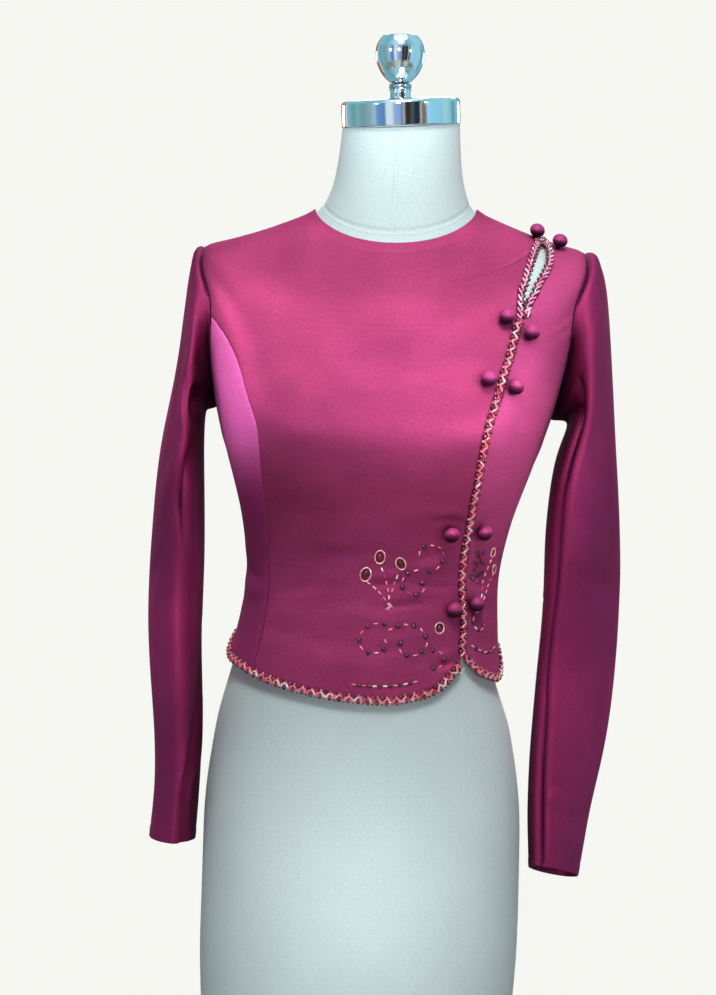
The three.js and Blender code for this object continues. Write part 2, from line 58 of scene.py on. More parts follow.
SECTIONS = [
  [0, 142, 94, 110, 2.30, 0, 0, 2.0, 0, 0.0, 0.0, 2.2],
  [100, 147, 98, 117, 2.30, 0, 0, 2.0, 0, 0.0, 0.0, 2.2],
  [200, 146.5, 100, 118, 2.30, 0, 0, 2.0, 0, -1.0, 0.0, 2.2],
  [290, 136, 98, 105, 2.30, 0, 0, 2.0, 0, -3.0, 0.0, 4.5],
  [340, 121.5, 93, 92, 2.25, 0, 0, 2.0, 0, -5.5, 0.0, 5.5],
  [380, 115, 87, 82, 2.20, 0, 0, 2.0, 0, -2.0, 0.0, 4.0],
  [425, 113, 82, 75, 2.20, 0, 0, 2.0, 0, 0.0, 0.0, 2.4],
  [475, 120, 87.2, 77, 2.25, 0, 0, 2.0, 6, 1.5, 0.0, 2.2],
  [520, 133, 98.5, 83, 2.35, 0, 0, 2.0, 20, 3.0, 0.0, 2.2],
  [560, 146, 107, 89, 2.55, 0, 0, 2.0, 25, 4.0, 0.0, 2.2],
  [590, 154, 106.5, 92, 2.80, 0, 0, 2.0, 18, 5.0, 0.2, 2.2],
  [630, 163, 104.5, 94.2, 3.10, 16, 10, 2.0, 9, 6.5, 0.4, 2.2],
  [670, 170, 102, 95, 3.20, 36, 26, 2.0, 4, 8.0, 0.8, 2.2],
  [700, 175, 98.2, 92.6, 3.10, 52, 38, 2.0, 1, 8.5, 1.1, 2.5],
  [720, 178, 95.6, 90, 2.90, 64, 46, 1.9, 0, 9.0, 1.2, 2.6],
  [729, 173, 91.8, 86.2, 2.80, 63, 45, 1.8, 0, 9.0, 1.2, 2.6],
  [735, 151, 86, 81.5, 2.65, 56, 38, 1.7, 0, 9.0, 1.2, 2.5],
  [750, 108, 73, 69, 2.35, 46, 26, 1.5, 0, 9.0, 1.5, 2.2],
  [767, 73, 59.5, 55, 2.15, 38, 12, 1.3, 0, 9.0, 2.0, 2.0],
  [775, 67, 55, 51, 2.10, 31, 8, 1.4, 0, 9.5, 2.5, 2.0],
  [795, 60, 52, 48, 2.05, 19, -1, 1.6, 0, 10.0, 3.5, 2.0],
  [820, 56.5, 51, 48, 2.05, 11, -6, 1.3, 0, 10.5, 4.3, 2.0],
  [846, 54.5, 51, 49, 2.00, 9, -8.647, 1.0, 0, 11.0, 4.6, 2.0],
]
PRINCESS = [ # level, phi: right side-front seam, hem to armhole
  [330, -47.8], [343, -48.4], [377, -50.3], [413, -51.2], [440, -52.4], [468, -50.3], [505, -47.3],
  [544, -43.7], [559, -43.0], [590, -44.8], [630, -46.1], [646, -47.9], [660, -50.5], [669, -53.9], [674.3, -57.6],
]
OPENING = [ # level, phi: side-front opening, hem to the foot of the keyhole
  [330, 42.6], [362, 42.8], [393, 43.6], [425, 41.9], [458, 40.2], [486, 38.6], [513, 36.5], [544, 34.6],
  [568, 34.2], [594, 34.6], [627, 34.3], [665, 34.3], [688, 34.4], [700, 34.9],
]
KEYHOLE_INNER = [ # level, phi: the edge nearer centre front
  [700, 34.7], [712, 34.4], [719.3, 34.3], [724.1, 34.8], [728.3, 35.9], [731.3, 38.2], [733.4, 42.1], [735.7, 46.8],
  [737.8, 52.4], [739.5, 58.7], [740.5, 67.1], [740.8, 75.6], [741.0, 83], [741.2, 90],
]
KEYHOLE_OUTER = [ # level, phi: the edge nearer the armhole
  [700, 35.2], [705.2, 36.4], [715.8, 37.7], [721.3, 38.6], [725.1, 39.9], [728.2, 42.3], [730.5, 45], [732, 48.7],
  [733.2, 53.3], [734.5, 59.1], [736, 65.2], [737.1, 70.3], [738.9, 77.5], [740.2, 84], [740.8, 88],
]
ARMHOLE_FRONT = [ # angle round the armhole from its top, bite into the front in degrees
  [0, 0], [12, 13.7], [28, 25], [43, 30.5], [60, 33.3], [74, 32.2], [93, 28.7], [113, 24.5], [132, 19.3], [149, 12.8], [162, 7.2], [180, 0],
]
HEM = [ # phi, level
  [-180, 366], [-150, 367], [-120, 369], [-100, 367], [-90, 360.5], [-80, 353.5], [-70, 348.5], [-55, 342.2], [-43.3, 335.5], [-34, 330.9],
  [-25.2, 327.1], [-9.3, 322.2], [8.1, 320.2], [21.8, 325.2], [30.4, 332.2], [36.4, 342.7], [40.9, 352.1], [43, 360.1],
  [47.8, 352.7], [52.4, 346.2], [59.6, 341.1], [66.7, 338.8], [76, 343], [84, 351], [92, 360], [102, 367], [120, 369], [150, 367], [180, 366],
]
SLEEVE_COLUMNS = ["outX", "outZ", "inX", "inZ", "front", "back", "lean", "rise", "pinch", "dent", "hold"]
SLEEVE_RIGHT = [
  [167, 726, 152.5, 580, -62, 50, 0, 0, 1.0, 0, 1],
  [172, 725, 156, 578.5, -62.5, 52, 0, 0, 1.0, 0, 0.55],
  [176.5, 713, 158.5, 577.5, -63, 54, 0, 0, 1.0, 0, 0.25],
  [180, 691, 160, 576, -63, 56, 0.05, 0, 1.0, 0, 0.07],
  [183, 662, 160.8, 573.5, -63, 57, 0.12, 0, 1.02, 1, 0],
  [186.5, 630, 161, 569.5, -62.5, 58, 0.20, 0, 1.04, 2, 0],
  [191, 600, 161, 563, -62, 58, 0.25, 0, 1.06, 4, 0],
  [196, 572, 160.5, 552, -62, 58, 0.28, 0, 1.08, 5, 0],
  [200.5, 544, 159.5, 534, -62.5, 58, 0.30, 0, 1.10, 5, 0],
  [204, 508, 158.5, 508, -63, 56, 0.30, 0, 1.10, 4, 0],
  [206, 470, 157, 470, -63.5, 53, 0.30, 0, 1.10, 3, 0],
  [207, 430, 155.5, 430, -64, 48, 0.30, 0, 1.10, 2, 0],
  [206.5, 392, 155, 392, -64, 44, 0.30, 0, 1.10, 2, 0],
  [203.5, 350, 154, 350, -63, 38, 0.30, 0, 1.10, 3, 0],
  [199, 310, 152, 310, -61, 33, 0.28, 0, 1.10, 4, 0],
  [195, 268, 151.5, 268, -58, 28, 0.25, 0, 1.10, 6, 0],
  [193.5, 228, 152, 228, -56, 24, 0.22, 0, 1.10, 6, 0],
  [196, 181, 153.5, 181, -54, 21, 0.20, 0, 1.08, 5, 0],
]
SLEEVE_LEFT = [
  [184.5, 733, 161, 581.5, -62, 50, 0, 0, 1.0, 0, 1],
  [192, 733, 164, 580, -62.5, 52, 0, 0, 1.0, 0, 0.5],
  [200, 722, 168, 579.5, -63, 54, 0.05, 0, 1.0, 0, 0.22],
  [206, 702, 171.5, 579, -63, 55, 0.10, 0, 1.0, 0, 0.07],
  [210.5, 674, 173.5, 578, -62.5, 55, 0.18, 0, 1.0, 0, 0],
  [214, 644, 175, 576, -62, 55, 0.30, 0, 1.02, 0, 0],
  [218, 612, 174.5, 572, -61, 54, 0.45, 0, 1.04, 0, 0],
  [221.5, 580, 170, 561, -60, 53, 0.55, 0, 1.06, 1, 0],
  [224.5, 548, 163, 542, -59, 52, 0.62, 0, 1.08, 2, 0],
  [228, 511, 158.5, 511, -58, 51, 0.65, 0, 1.08, 2, 0],
  [231.5, 473, 156.5, 473, -57, 50, 0.66, 0, 1.08, 2, 0],
  [233.5, 434, 156, 434, -56, 49, 0.70, 0, 1.08, 2, 0],
  [233.2, 394, 155, 394, -54.5, 46, 0.78, 0, 1.08, 2, 0],
  [231.2, 350, 152.3, 350, -53, 42, 0.80, 0, 1.08, 2, 0],
  [227.5, 306, 150.5, 306, -52, 36, 0.76, 0, 1.08, 2, 0],
  [220.5, 264, 149, 264, -50.5, 31, 0.68, 0, 1.08, 2, 0],
  [210.5, 216, 150.3, 216, -48.5, 26, 0.58, 3, 1.08, 1, 0],
  [201.5, 159, 153.5, 164, -47, 24, 0.50, 9, 1.08, 0, 0],
]
BUTTONS = {
  "shoulder_inner": [80.0, 742.6], "shoulder_outer": [74.7, 735.4],
  "chest_inner": [30.9, 711.5], "chest_outer": [38.4, 679.4],
  "bust_inner": [29.9, 610.7], "bust_outer": [38.0, 604.9],
  "waist_inner": [30.3, 475.9], "waist_outer": [44.9, 478.0],
  "hem_inner": [36.4, 403.0], "hem_outer": [48.4, 408.9],
}
PRINCESS_TOP, KEYHOLE_FOOT = 674.3, 700.0
RAD = math.pi / 180


# ------------------------------------------------------------------ small maths
def smooth_table(xs, ys):
    xs, ys = np.asarray(xs, float), np.asarray(ys, float)
    n, h = len(xs), np.diff(xs)
    d = np.diff(ys) / h
    m = np.zeros(n)
    for i in range(1, n - 1):
        if d[i - 1] * d[i] > 0:
            w1, w2 = 2 * h[i] + h[i - 1], h[i] + 2 * h[i - 1]
            m[i] = (w1 + w2) / (w1 / d[i - 1] + w2 / d[i])
    m[0], m[-1] = d[0], d[-1]

    def f(x):
        x = np.asarray(x, float)
        i = np.clip(np.searchsorted(xs, x, side="right") - 1, 0, n - 2)
        u = np.clip((x - xs[i]) / h[i], 0, 1)
        v = 1 - u
        return ys[i] * (1 + 2 * u) * v * v + m[i] * h[i] * u * v * v + ys[i + 1] * u * u * (3 - 2 * u) + m[i + 1] * h[i] * u * u * (u - 1)

    return f


def from_pairs(rows):
    return smooth_table([r[0] for r in rows], [r[1] for r in rows])


def smoothstep(a, b, x):
    t = np.clip((np.asarray(x, float) - a) / (b - a), 0, 1)
    return t * t * (3 - 2 * t)


def lerp(a, b, t):
    return a + (b - a) * t


def blurred(y, sigma, step):
    r = int(4 * sigma / step) + 1
    k = np.exp(-0.5 * (np.arange(-r, r + 1) * step / sigma) ** 2)
    k /= k.sum()
    padded = np.concatenate([2 * y[0] - y[r:0:-1], y, 2 * y[-1] - y[-2:-r - 2:-1]])
    return np.convolve(padded, k, "valid")


STEP = 0.5
FINE = np.arange(0, FORM_TOP + STEP / 2, STEP)


def section_column(c):
    f = smooth_table([r[0] for r in SECTIONS], [r[c] for r in SECTIONS])
    y = f(FINE)
    wide, mid, tight = blurred(y, 9.0, STEP), blurred(y, 4.5, STEP), blurred(y, 1.8, STEP)
    low = 1 - smoothstep(690, 716, FINE)
    high = smoothstep(772, 792, FINE)
    y = wide * low + mid * high + tight * (1 - low - high)
    return lambda s: np.interp(s, FINE, y)


section = {name: section_column(i) for i, name in enumerate(SECTION_COLUMNS) if name != "s"}
princess, opening = from_pairs(PRINCESS), from_pairs(OPENING)
key_inner, key_outer, bite_front = from_pairs(KEYHOLE_INNER), from_pairs(KEYHOLE_OUTER), from_pairs(ARMHOLE_FRONT)
_hem = from_pairs(HEM)


def hem_at(phi):
    return _hem((np.asarray(phi, float) + 180) % 360 - 180)


# ------------------------------------------------------------------ the shared torso surface
def form(phi, s):
    phi, s = np.broadcast_arrays(np.asarray(phi, float), np.asarray(s, float))
    p = phi * RAD
    si, co, n = np.sin(p), np.cos(p), section["n"](s)
    k = (np.abs(si) ** n + np.abs(co) ** n) ** (-1 / n)
    x = section["a"](s) * si * k
    front = co >= 0
    y = np.where(front, -section["f"](s), -section["b"](s)) * co * k
    ap = np.abs((phi + 180) % 360 - 180)
    spread = np.where(ap < BUST_PHI, BUST_IN, BUST_OUT)
    g = np.exp(-(((ap - BUST_PHI) / spread) ** 2)) + np.exp(-(((ap + BUST_PHI) / BUST_IN) ** 2))
    y = y - np.where(front, section["bust"](s) * g * np.clip(co * 2.2, 0, 1), 0)
    ck = np.abs(co * k)
    drop = np.where(front, section["dropF"](s), section["dropB"](s)) * ck ** section["q"](s)
    z = s - drop + np.tan(section["tilt"](s) * RAD) * x
    return np.stack([x + section["sway"](s), y, z], -1)


def unit(v):
    return v / np.maximum(np.linalg.norm(v, axis=-1, keepdims=True), 1e-12)


def normal(phi, s, e=0.6):
    du = form(np.asarray(phi) + e, s) - form(np.asarray(phi) - e, s)
    dv = form(phi, np.minimum(FORM_TOP, np.asarray(s) + e)) - form(phi, np.maximum(0, np.asarray(s) - e))
    return unit(np.cross(du, dv))


def torso(phi, s, off):
    return form(phi, s) + normal(phi, s) * np.asarray(off)[..., None]


def cloth(phi, s, off):
    return torso(phi, s, section["ease"](np.asarray(s, float)) + off)


def armhole_turn(s):
    return np.arccos(np.clip((np.asarray(s, float) - ARMHOLE_MID) / ARMHOLE_HALF, -1, 1))


def in_armhole(s):
    return (np.asarray(s) > UNDERARM) & (np.asarray(s) < SHOULDER_TIP)


def front_edge(s):
    return 90 - np.where(in_armhole(s), bite_front(armhole_turn(s) / RAD), 0)


def back_edge(s):
    return 90 + np.where(in_armhole(s), ARMHOLE_BACK * np.sin(armhole_turn(s)) ** 0.8, 0)


# ------------------------------------------------------------------ meshes
def make_mesh(name, verts, faces, mats, loop_uv=None, tint=None, face_mat=None, smooth=True):
    """verts in mm; faces is a list of index arrays, quads or triangles; loop_uv one pair per corner, in metres."""
    me = bpy.data.meshes.new(name)
    verts = np.asarray(verts, np.float64) * 0.001
    me.vertices.add(len(verts))
    me.vertices.foreach_set("co", verts.astype(np.float32).ravel())
    faces = [np.asarray(f, np.int32) for f in faces if len(f)]
    loops = np.concatenate([f.ravel() for f in faces])
    totals = np.concatenate([np.full(len(f), f.shape[1], np.int32) for f in faces])
    starts = np.concatenate([[0], np.cumsum(totals)[:-1]]).astype(np.int32)
    me.loops.add(len(loops))
    me.loops.foreach_set("vertex_index", loops)
    me.polygons.add(len(totals))
    me.polygons.foreach_set("loop_start", starts)
    try:
        me.polygons.foreach_set("loop_total", totals)
    except Exception:
        pass
    me.polygons.foreach_set("use_smooth", np.full(len(totals), bool(smooth)))
    if face_mat is not None:
        me.polygons.foreach_set("material_index", np.asarray(face_mat, np.int32))
    if loop_uv is not None:
        layer = me.uv_layers.new(name="UVMap")
        layer.data.foreach_set("uv", np.asarray(loop_uv, np.float32).ravel())
    if tint is not None:
        a = me.attributes.new("tint", "FLOAT_COLOR", "POINT")
        rgba = np.ones((len(verts), 4), np.float32)
        rgba[:, :3] = tint
        a.data.foreach_set("color", rgba.ravel())
    me.update(calc_edges=True)
    for m in mats:
        me.materials.append(m)
    o = bpy.data.objects.new(name, me)
    bpy.context.scene.collection.objects.link(o)
    return o


def grid_normals(g, closed):
    if closed:
        du = np.roll(g, -1, 1) - np.roll(g, 1, 1)
    else:
        du = np.empty_like(g)
        du[:, 1:-1] = g[:, 2:] - g[:, :-2]
        du[:, 0], du[:, -1] = g[:, 1] - g[:, 0], g[:, -1] - g[:, -2]
    dv = np.empty_like(g)
    dv[1:-1] = g[2:] - g[:-2]
    dv[0], dv[-1] = g[1] - g[0], g[-1] - g[-2]
    return unit(np.cross(du, dv))


def shell(name, outer, inner, uv, mats, closed=False, flip=False):
    """A closed wall between two grids of points (rows, columns, 3). uv is (rows, columns or columns + 1, 2), metres."""
    nr, nc = outer.shape[:2]
    verts = np.concatenate([outer.reshape(-1, 3), inner.reshape(-1, 3)])
    base = nr * nc
    j, i = np.meshgrid(np.arange(nr - 1), np.arange(nc if closed else nc - 1), indexing="ij")
    j, i = j.ravel(), i.ravel()
    i2 = (i + 1) % nc
    a, b, c, d = j * nc + i, j * nc + i2, (j + 1) * nc + i2, (j + 1) * nc + i
    quads = [np.stack([a, b, c, d], 1), np.stack([base + a, base + d, base + c, base + b], 1)]
    ncu = uv.shape[1]
    U = uv.reshape(-1, 2)
    ua, ub, uc, ud = j * ncu + i, j * ncu + (i + 1 if closed else i2), (j + 1) * ncu + (i + 1 if closed else i2), (j + 1) * ncu + i
    uvs = [U[np.stack([ua, ub, uc, ud], 1)], U[np.stack([ua, ud, uc, ub], 1)]]
    i = np.arange(nc if closed else nc - 1)
    i2, iu = (i + 1) % nc, (i + 1 if closed else (i + 1) % nc)
    quads.append(np.stack([i, base + i, base + i2, i2], 1))
    uvs.append(U[np.stack([i, i, iu, iu], 1)])
    t, tu = (nr - 1) * nc, (nr - 1) * ncu
    quads.append(np.stack([t + i2, base + t + i2, base + t + i, t + i], 1))
    uvs.append(U[np.stack([tu + iu, tu + iu, tu + i, tu + i], 1)])
    if not closed:
        j = np.arange(nr - 1)
        for col, first in ((0, True), (nc - 1, False)):
            lo_, hi_ = j * nc + col, (j + 1) * nc + col
            q = [hi_, base + hi_, base + lo_, lo_] if first else [lo_, base + lo_, base + hi_, hi_]
            quads.append(np.stack(q, 1))
            ul, uh = j * ncu + min(col, ncu - 1), (j + 1) * ncu + min(col, ncu - 1)
            uvs.append(U[np.stack([uh, uh, ul, ul] if first else [ul, ul, uh, uh], 1)])
    quads, uvs = np.concatenate(quads), np.concatenate(uvs)
    if flip:
        quads, uvs = quads[:, ::-1], uvs[:, ::-1]
    return make_mesh(name, verts, [quads], mats, uvs.reshape(-1, 2))


def edge_distance(points, line):
    """Distance in mm of each point from a dense polyline."""
    line = np.asarray(line, float)
    d = np.concatenate([[0], np.cumsum(np.linalg.norm(np.diff(line, axis=0), axis=1))])
    at = np.arange(0, d[-1], 0.4)
    fine = np.stack([np.interp(at, d, line[:, k]) for k in range(3)], 1)
    fine = np.concatenate([fine, line[-1:]])
    tree = KDTree(len(fine))
    for i, p in enumerate(fine):
        tree.insert(p, i)
    tree.balance()
    flat = points.reshape(-1, 3)
    return np.array([tree.find(p)[2] for p in flat]).reshape(points.shape[:-1])


def polyline_field(points, line, values):
    """For each point: distance to a polyline, signed side (by the given up vectors) and the values interpolated along it."""
    line, values = np.asarray(line, float), np.asarray(values, float)
    flat = points.reshape(-1, points.shape[-1])
    best = np.full(len(flat), np.inf)
    val = np.zeros((len(flat), values.shape[1]))
    vec = np.zeros_like(flat)
    seg = np.zeros_like(flat)
    for a, b, va, vb in zip(line[:-1], line[1:], values[:-1], values[1:]):
        ab = b - a
        t = np.clip(((flat - a) @ ab) / max(ab @ ab, 1e-12), 0, 1)
        v = flat - a - t[:, None] * ab
        d = np.linalg.norm(v, axis=1)
        m = d < best
        best[m] = d[m]
        val[m] = va + (vb - va) * t[m, None]
        vec[m] = v[m]
        seg[m] = ab
    return best.reshape(points.shape[:-1]), vec.reshape(points.shape), seg.reshape(points.shape), val.reshape(points.shape[:-1] + (values.shape[1],))


def curve_points(pts, step, closed=False):
    """Centripetal-like smooth curve through 2-D or 3-D points, resampled at about `step`."""
    pts = np.asarray(pts, float)
    if len(pts) == 2:
        n = max(2, int(np.linalg.norm(pts[1] - pts[0]) / step) + 1)
        return pts[0] + (pts[1] - pts[0]) * np.linspace(0, 1, n)[:, None]
    ext = np.concatenate([[2 * pts[0] - pts[1]], pts, [2 * pts[-1] - pts[-2]]])
    out = []
    for i in range(1, len(ext) - 2):
        p0, p1, p2, p3 = ext[i - 1:i + 3]
        t = np.linspace(0, 1, 24, endpoint=False)[:, None]
        out.append(0.5 * (2 * p1 + (p2 - p0) * t + (2 * p0 - 5 * p1 + 4 * p2 - p3) * t ** 2 + (3 * p1 - p0 - 3 * p2 + p3) * t ** 3))
    out = np.concatenate(out + [pts[-1:]])
    d = np.concatenate([[0], np.cumsum(np.linalg.norm(np.diff(out, axis=0), axis=1))])
    n = max(2, int(round(d[-1] / step)) + 1)
    at = np.linspace(0, d[-1], n)
    return np.stack([np.interp(at, d, out[:, k]) for k in range(out.shape[1])], 1)


# ------------------------------------------------------------------ materials
def new_material(name):
    m = bpy.data.materials.new(name)
    m.use_nodes = True
    nt = m.node_tree
    nt.nodes.clear()
    out = nt.nodes.new("ShaderNodeOutputMaterial")
    bsdf = nt.nodes.new("ShaderNodeBsdfPrincipled")
    nt.links.new(bsdf.outputs[0], out.inputs[0])
    return m, nt, bsdf


def node(nt, kind, **inputs):
    n = nt.nodes.new(kind)
    for k, v in inputs.items():
        if hasattr(n, k):
            setattr(n, k, v)
        else:
            n.inputs[k.replace("_", " ")].default_value = v
    return n


def mapped(nt, source, scale, rotation=(0, 0, 0)):
    m = nt.nodes.new("ShaderNodeMapping")
    m.inputs["Scale"].default_value = scale
    m.inputs["Rotation"].default_value = rotation
    nt.links.new(source, m.inputs["Vector"])
    return m.outputs[0]


def uv_source(nt):
    n = nt.nodes.new("ShaderNodeUVMap")
    n.uv_map = "UVMap"
    return n.outputs[0]


def object_source(nt):
    return nt.nodes.new("ShaderNodeTexCoord").outputs["Object"]


def noise(nt, vector, scale, detail=2.0, roughness=0.5):
    n = nt.nodes.new("ShaderNodeTexNoise")
    n.inputs["Scale"].default_value = scale
    n.inputs["Detail"].default_value = detail
    n.inputs["Roughness"].default_value = roughness
    nt.links.new(vector, n.inputs["Vector"])
    return n.outputs["Fac"]


def math_node(nt, op, a, b=0.0, clamp=False):
    n = nt.nodes.new("ShaderNodeMath")
    n.operation, n.use_clamp = op, clamp
    for i, v in enumerate((a, b)):
        if isinstance(v, (int, float)):
            n.inputs[i].default_value = v
        else:
            nt.links.new(v, n.inputs[i])
    return n.outputs[0]


def ramp(nt, fac, stops, interpolation="LINEAR"):
    n = nt.nodes.new("ShaderNodeValToRGB")
    n.color_ramp.interpolation = interpolation
    e = n.color_ramp.elements
    while len(e) < len(stops):
        e.new(0.5)
    for el, (pos, col) in zip(e, stops):
        el.position = pos
        el.color = (*col, 1) if len(col) == 3 else col
    nt.links.new(fac, n.inputs[0])
    return n.outputs[0]


def mix_colour(nt, fac, a, b, blend="MIX"):
    n = nt.nodes.new("ShaderNodeMix")
    n.data_type, n.blend_type = "RGBA", blend
    for socket, v in ((n.inputs[0], fac), (n.inputs[6], a), (n.inputs[7], b)):
        if isinstance(v, (int, float)):
            socket.default_value = v
        elif isinstance(v, tuple):
            socket.default_value = (*v, 1)
        else:
            nt.links.new(v, socket)
    return n.outputs[2]


def bump(nt, height, strength, distance, before=None):
    n = nt.nodes.new("ShaderNodeBump")
    n.inputs["Strength"].default_value = strength
    n.inputs["Distance"].default_value = distance
    nt.links.new(height, n.inputs["Height"])
    if before is not None:
        nt.links.new(before, n.inputs["Normal"])
    return n.outputs[0]


def wave(nt, vector, period, direction="DIAGONAL", distortion=0.0):
    n = nt.nodes.new("ShaderNodeTexWave")
    n.wave_type, n.bands_direction, n.wave_profile = "BANDS", direction, "SIN"
    n.inputs["Scale"].default_value = 2 * math.pi / (period * (10 if direction == "DIAGONAL" else 20))
    n.inputs["Distortion"].default_value = distortion
    nt.links.new(vector, n.inputs["Vector"])
    return n.outputs["Fac"]


def satin_material(name, base, deep, grain=1.0, rough=0.60, use_uv=True, metal=0.55, along=0.75, reach=0.030, darkest_painted_shade=0.05, knees=(0.12, 0.45, 0.80), painted_falloff=None):
    m, nt, b = new_material(name)
    src = uv_source(nt) if use_uv else object_source(nt)
    # slow changes of shade, a fine slub along the weft and the twill's own lines
    cloud = noise(nt, mapped(nt, src, (1, 1.5, 1)), 17.0, 3.0, 0.55)
    weave = noise(nt, mapped(nt, src, (1.0, 1.2, 1.0), (0, 0, 0.4)), 330.0, 2.0, 0.75)
    slub = noise(nt, mapped(nt, src, (1.0, 5.0, 1.0)), 420.0, 3.0, 0.6)
    grainy = noise(nt, mapped(nt, src, (1.0, 1.4, 1.0), (0, 0, 0.6)), 780.0, 2.0, 0.7)
    twill = wave(nt, mapped(nt, src, (1.0, 1.25, 1.0)), 0.00085, "DIAGONAL", 0.0)
    colour = mix_colour(nt, ramp(nt, cloud, [(0.3, (0, 0, 0)), (0.7, (1, 1, 1))]), deep, base)
    speck = ramp(nt, grainy, [(0.30, (0.80, 0.80, 0.80)), (0.70, (1.16, 1.16, 1.16))])
    colour = mix_colour(nt, 0.60 * grain, colour, speck, "MULTIPLY")
    colour = mix_colour(nt, 0.50 * grain, colour, ramp(nt, weave, [(0.30, (0.80, 0.78, 0.80)), (0.70, (1.20, 1.22, 1.20))]), "MULTIPLY")
    # painted shade: ambient occlusion darkens the base colour in hollows and seams, more than on open cloth
    painted_shade_ao = nt.nodes.new("ShaderNodeAmbientOcclusion")
    painted_shade_ao.samples, painted_shade_ao.inside, painted_shade_ao.only_local = 6, False, False
    painted_shade_ao.inputs["Distance"].default_value = reach
    shade = ramp(nt, painted_shade_ao.outputs["AO"], [(knees[0], (darkest_painted_shade, 0.5 * darkest_painted_shade, darkest_painted_shade)), (knees[1], (0.42, 0.32, 0.40)), (knees[2], (1, 1, 1))])
    colour = mix_colour(nt, 1.0, colour, shade, "MULTIPLY")
    if not use_uv:
        # painted shade: the covered balls' base colour darkens towards their undersides, by the height of the normal
        sep = nt.nodes.new("ShaderNodeSeparateXYZ")
        nt.links.new(nt.nodes.new("ShaderNodeTexCoord").outputs["Normal"], sep.inputs[0])
        half = math_node(nt, "MULTIPLY_ADD", sep.outputs[2], 0.5)
        nt.nodes[-1].inputs[2].default_value = 0.5
        colour = mix_colour(nt, 1.0, colour, ramp(nt, half, [(0.18, (0.07, 0.05, 0.07)), (0.40, (0.36, 0.30, 0.36)), (0.58, (1, 1, 1))]), "MULTIPLY")
    if painted_falloff:
        # painted light and shade by height: light orchid at the bust, turning to darker plum towards the waist
        low, high = painted_falloff
        sep = nt.nodes.new("ShaderNodeSeparateXYZ")
        nt.links.new(object_source(nt), sep.inputs[0])
        t = math_node(nt, "MULTIPLY_ADD", sep.outputs[2], 1 / (high - low))
        nt.nodes[-1].inputs[2].default_value = -low / (high - low)
        colour = mix_colour(nt, 1.0, colour, ramp(nt, t, [(0.0, (0.46, 0.31, 0.39)), (0.45, (0.49, 0.31, 0.38)), (0.70, (0.76, 0.46, 0.60)), (0.93, (1, 1, 1))]), "MULTIPLY")
    nt.links.new(colour, b.inputs["Base Color"])
    rough_value = math_node(nt, "MULTIPLY_ADD", slub, 0.10)
    nt.nodes[-1].inputs[2].default_value = rough - 0.05
    # seen along the surface, the raised threads scatter more than they mirror
    slant = nt.nodes.new("ShaderNodeLayerWeight")
    slant.inputs["Blend"].default_value = 0.5
    spread = math_node(nt, "MULTIPLY_ADD", ramp(nt, slant.outputs["Facing"], [(0.45, (0, 0, 0)), (0.92, (1, 1, 1))]), 0.42)
    nt.links.new(rough_value, nt.nodes[-1].inputs[2])
    nt.links.new(spread, b.inputs["Roughness"])
    height = math_node(nt, "ADD", math_node(nt, "MULTIPLY", twill, 0.5), math_node(nt, "MULTIPLY", slub, 0.9))
    first = bump(nt, height, 0.20 * grain, 0.00012)
    second = bump(nt, weave, 0.34 * grain, 0.00030, bump(nt, grainy, 0.26 * grain, 0.00022, first))
    nt.links.new(second, b.inputs["Normal"])
    b.inputs["Metallic"].default_value = metal
    b.inputs["Specular IOR Level"].default_value = 0.25
    b.inputs["Specular Tint"].default_value = (1.0, 0.42, 0.70, 1)
    b.inputs["Sheen Weight"].default_value = 0.05
    b.inputs["Sheen Roughness"].default_value = 0.45
    b.inputs["Sheen Tint"].default_value = (0.95, 0.42, 0.80, 1)
    if use_uv:
        b.inputs["Anisotropic"].default_value = along
        t = nt.nodes.new("ShaderNodeTangent")
        t.direction_type, t.uv_map = "UV_MAP", "UVMap"
        nt.links.new(t.outputs[0], b.inputs["Tangent"])
    return m


def thread_material(name, colour, rough=0.55):
    m, nt, b = new_material(name)
    src = object_source(nt)
    ply = wave(nt, mapped(nt, src, (1, 1, 1)), 0.0007, "DIAGONAL", 1.5)
    fuzz = noise(nt, src, 900.0, 2.0)
    nt.links.new(mix_colour(nt, ramp(nt, fuzz, [(0.3, (0, 0, 0)), (0.7, (1, 1, 1))]), tuple(0.72 * c for c in colour), colour), b.inputs["Base Color"])
    b.inputs["Roughness"].default_value = rough
    b.inputs["Specular IOR Level"].default_value = 0.2
    nt.links.new(bump(nt, ply, 0.4, 0.0002), b.inputs["Normal"])
    return m


def bead_material(name, metallic, rough, coat, painted_glow=0.0):
    """Colour from each bead's own tint, with a faint change along the glass."""
    m, nt, b = new_material(name)
    tint = nt.nodes.new("ShaderNodeAttribute")
    tint.attribute_name = "tint"
    src = object_source(nt)
    fog = noise(nt, src, 520.0, 2.0)
    shade = ramp(nt, fog, [(0.3, (0.74, 0.70, 0.72)), (0.7, (1.12, 1.12, 1.12))])
    nt.links.new(mix_colour(nt, 0.8, tint.outputs["Color"], shade, "MULTIPLY"), b.inputs["Base Color"])
    r = math_node(nt, "MULTIPLY_ADD", fog, 0.16)
    nt.nodes[-1].inputs[2].default_value = rough - 0.06
    nt.links.new(r, b.inputs["Roughness"])
    if painted_glow:
        # painted light: the beads glow in their own tint, as if catching light from any side
        nt.links.new(tint.outputs["Color"], b.inputs["Emission Color"])
        b.inputs["Emission Strength"].default_value = painted_glow
    b.inputs["Metallic"].default_value = metallic
    b.inputs["Coat Weight"].default_value = coat
    b.inputs["Coat Roughness"].default_value = 0.06
    nt.links.new(bump(nt, noise(nt, src, 1300.0, 1.0), 0.12, 0.0001), b.inputs["Normal"])
    return m


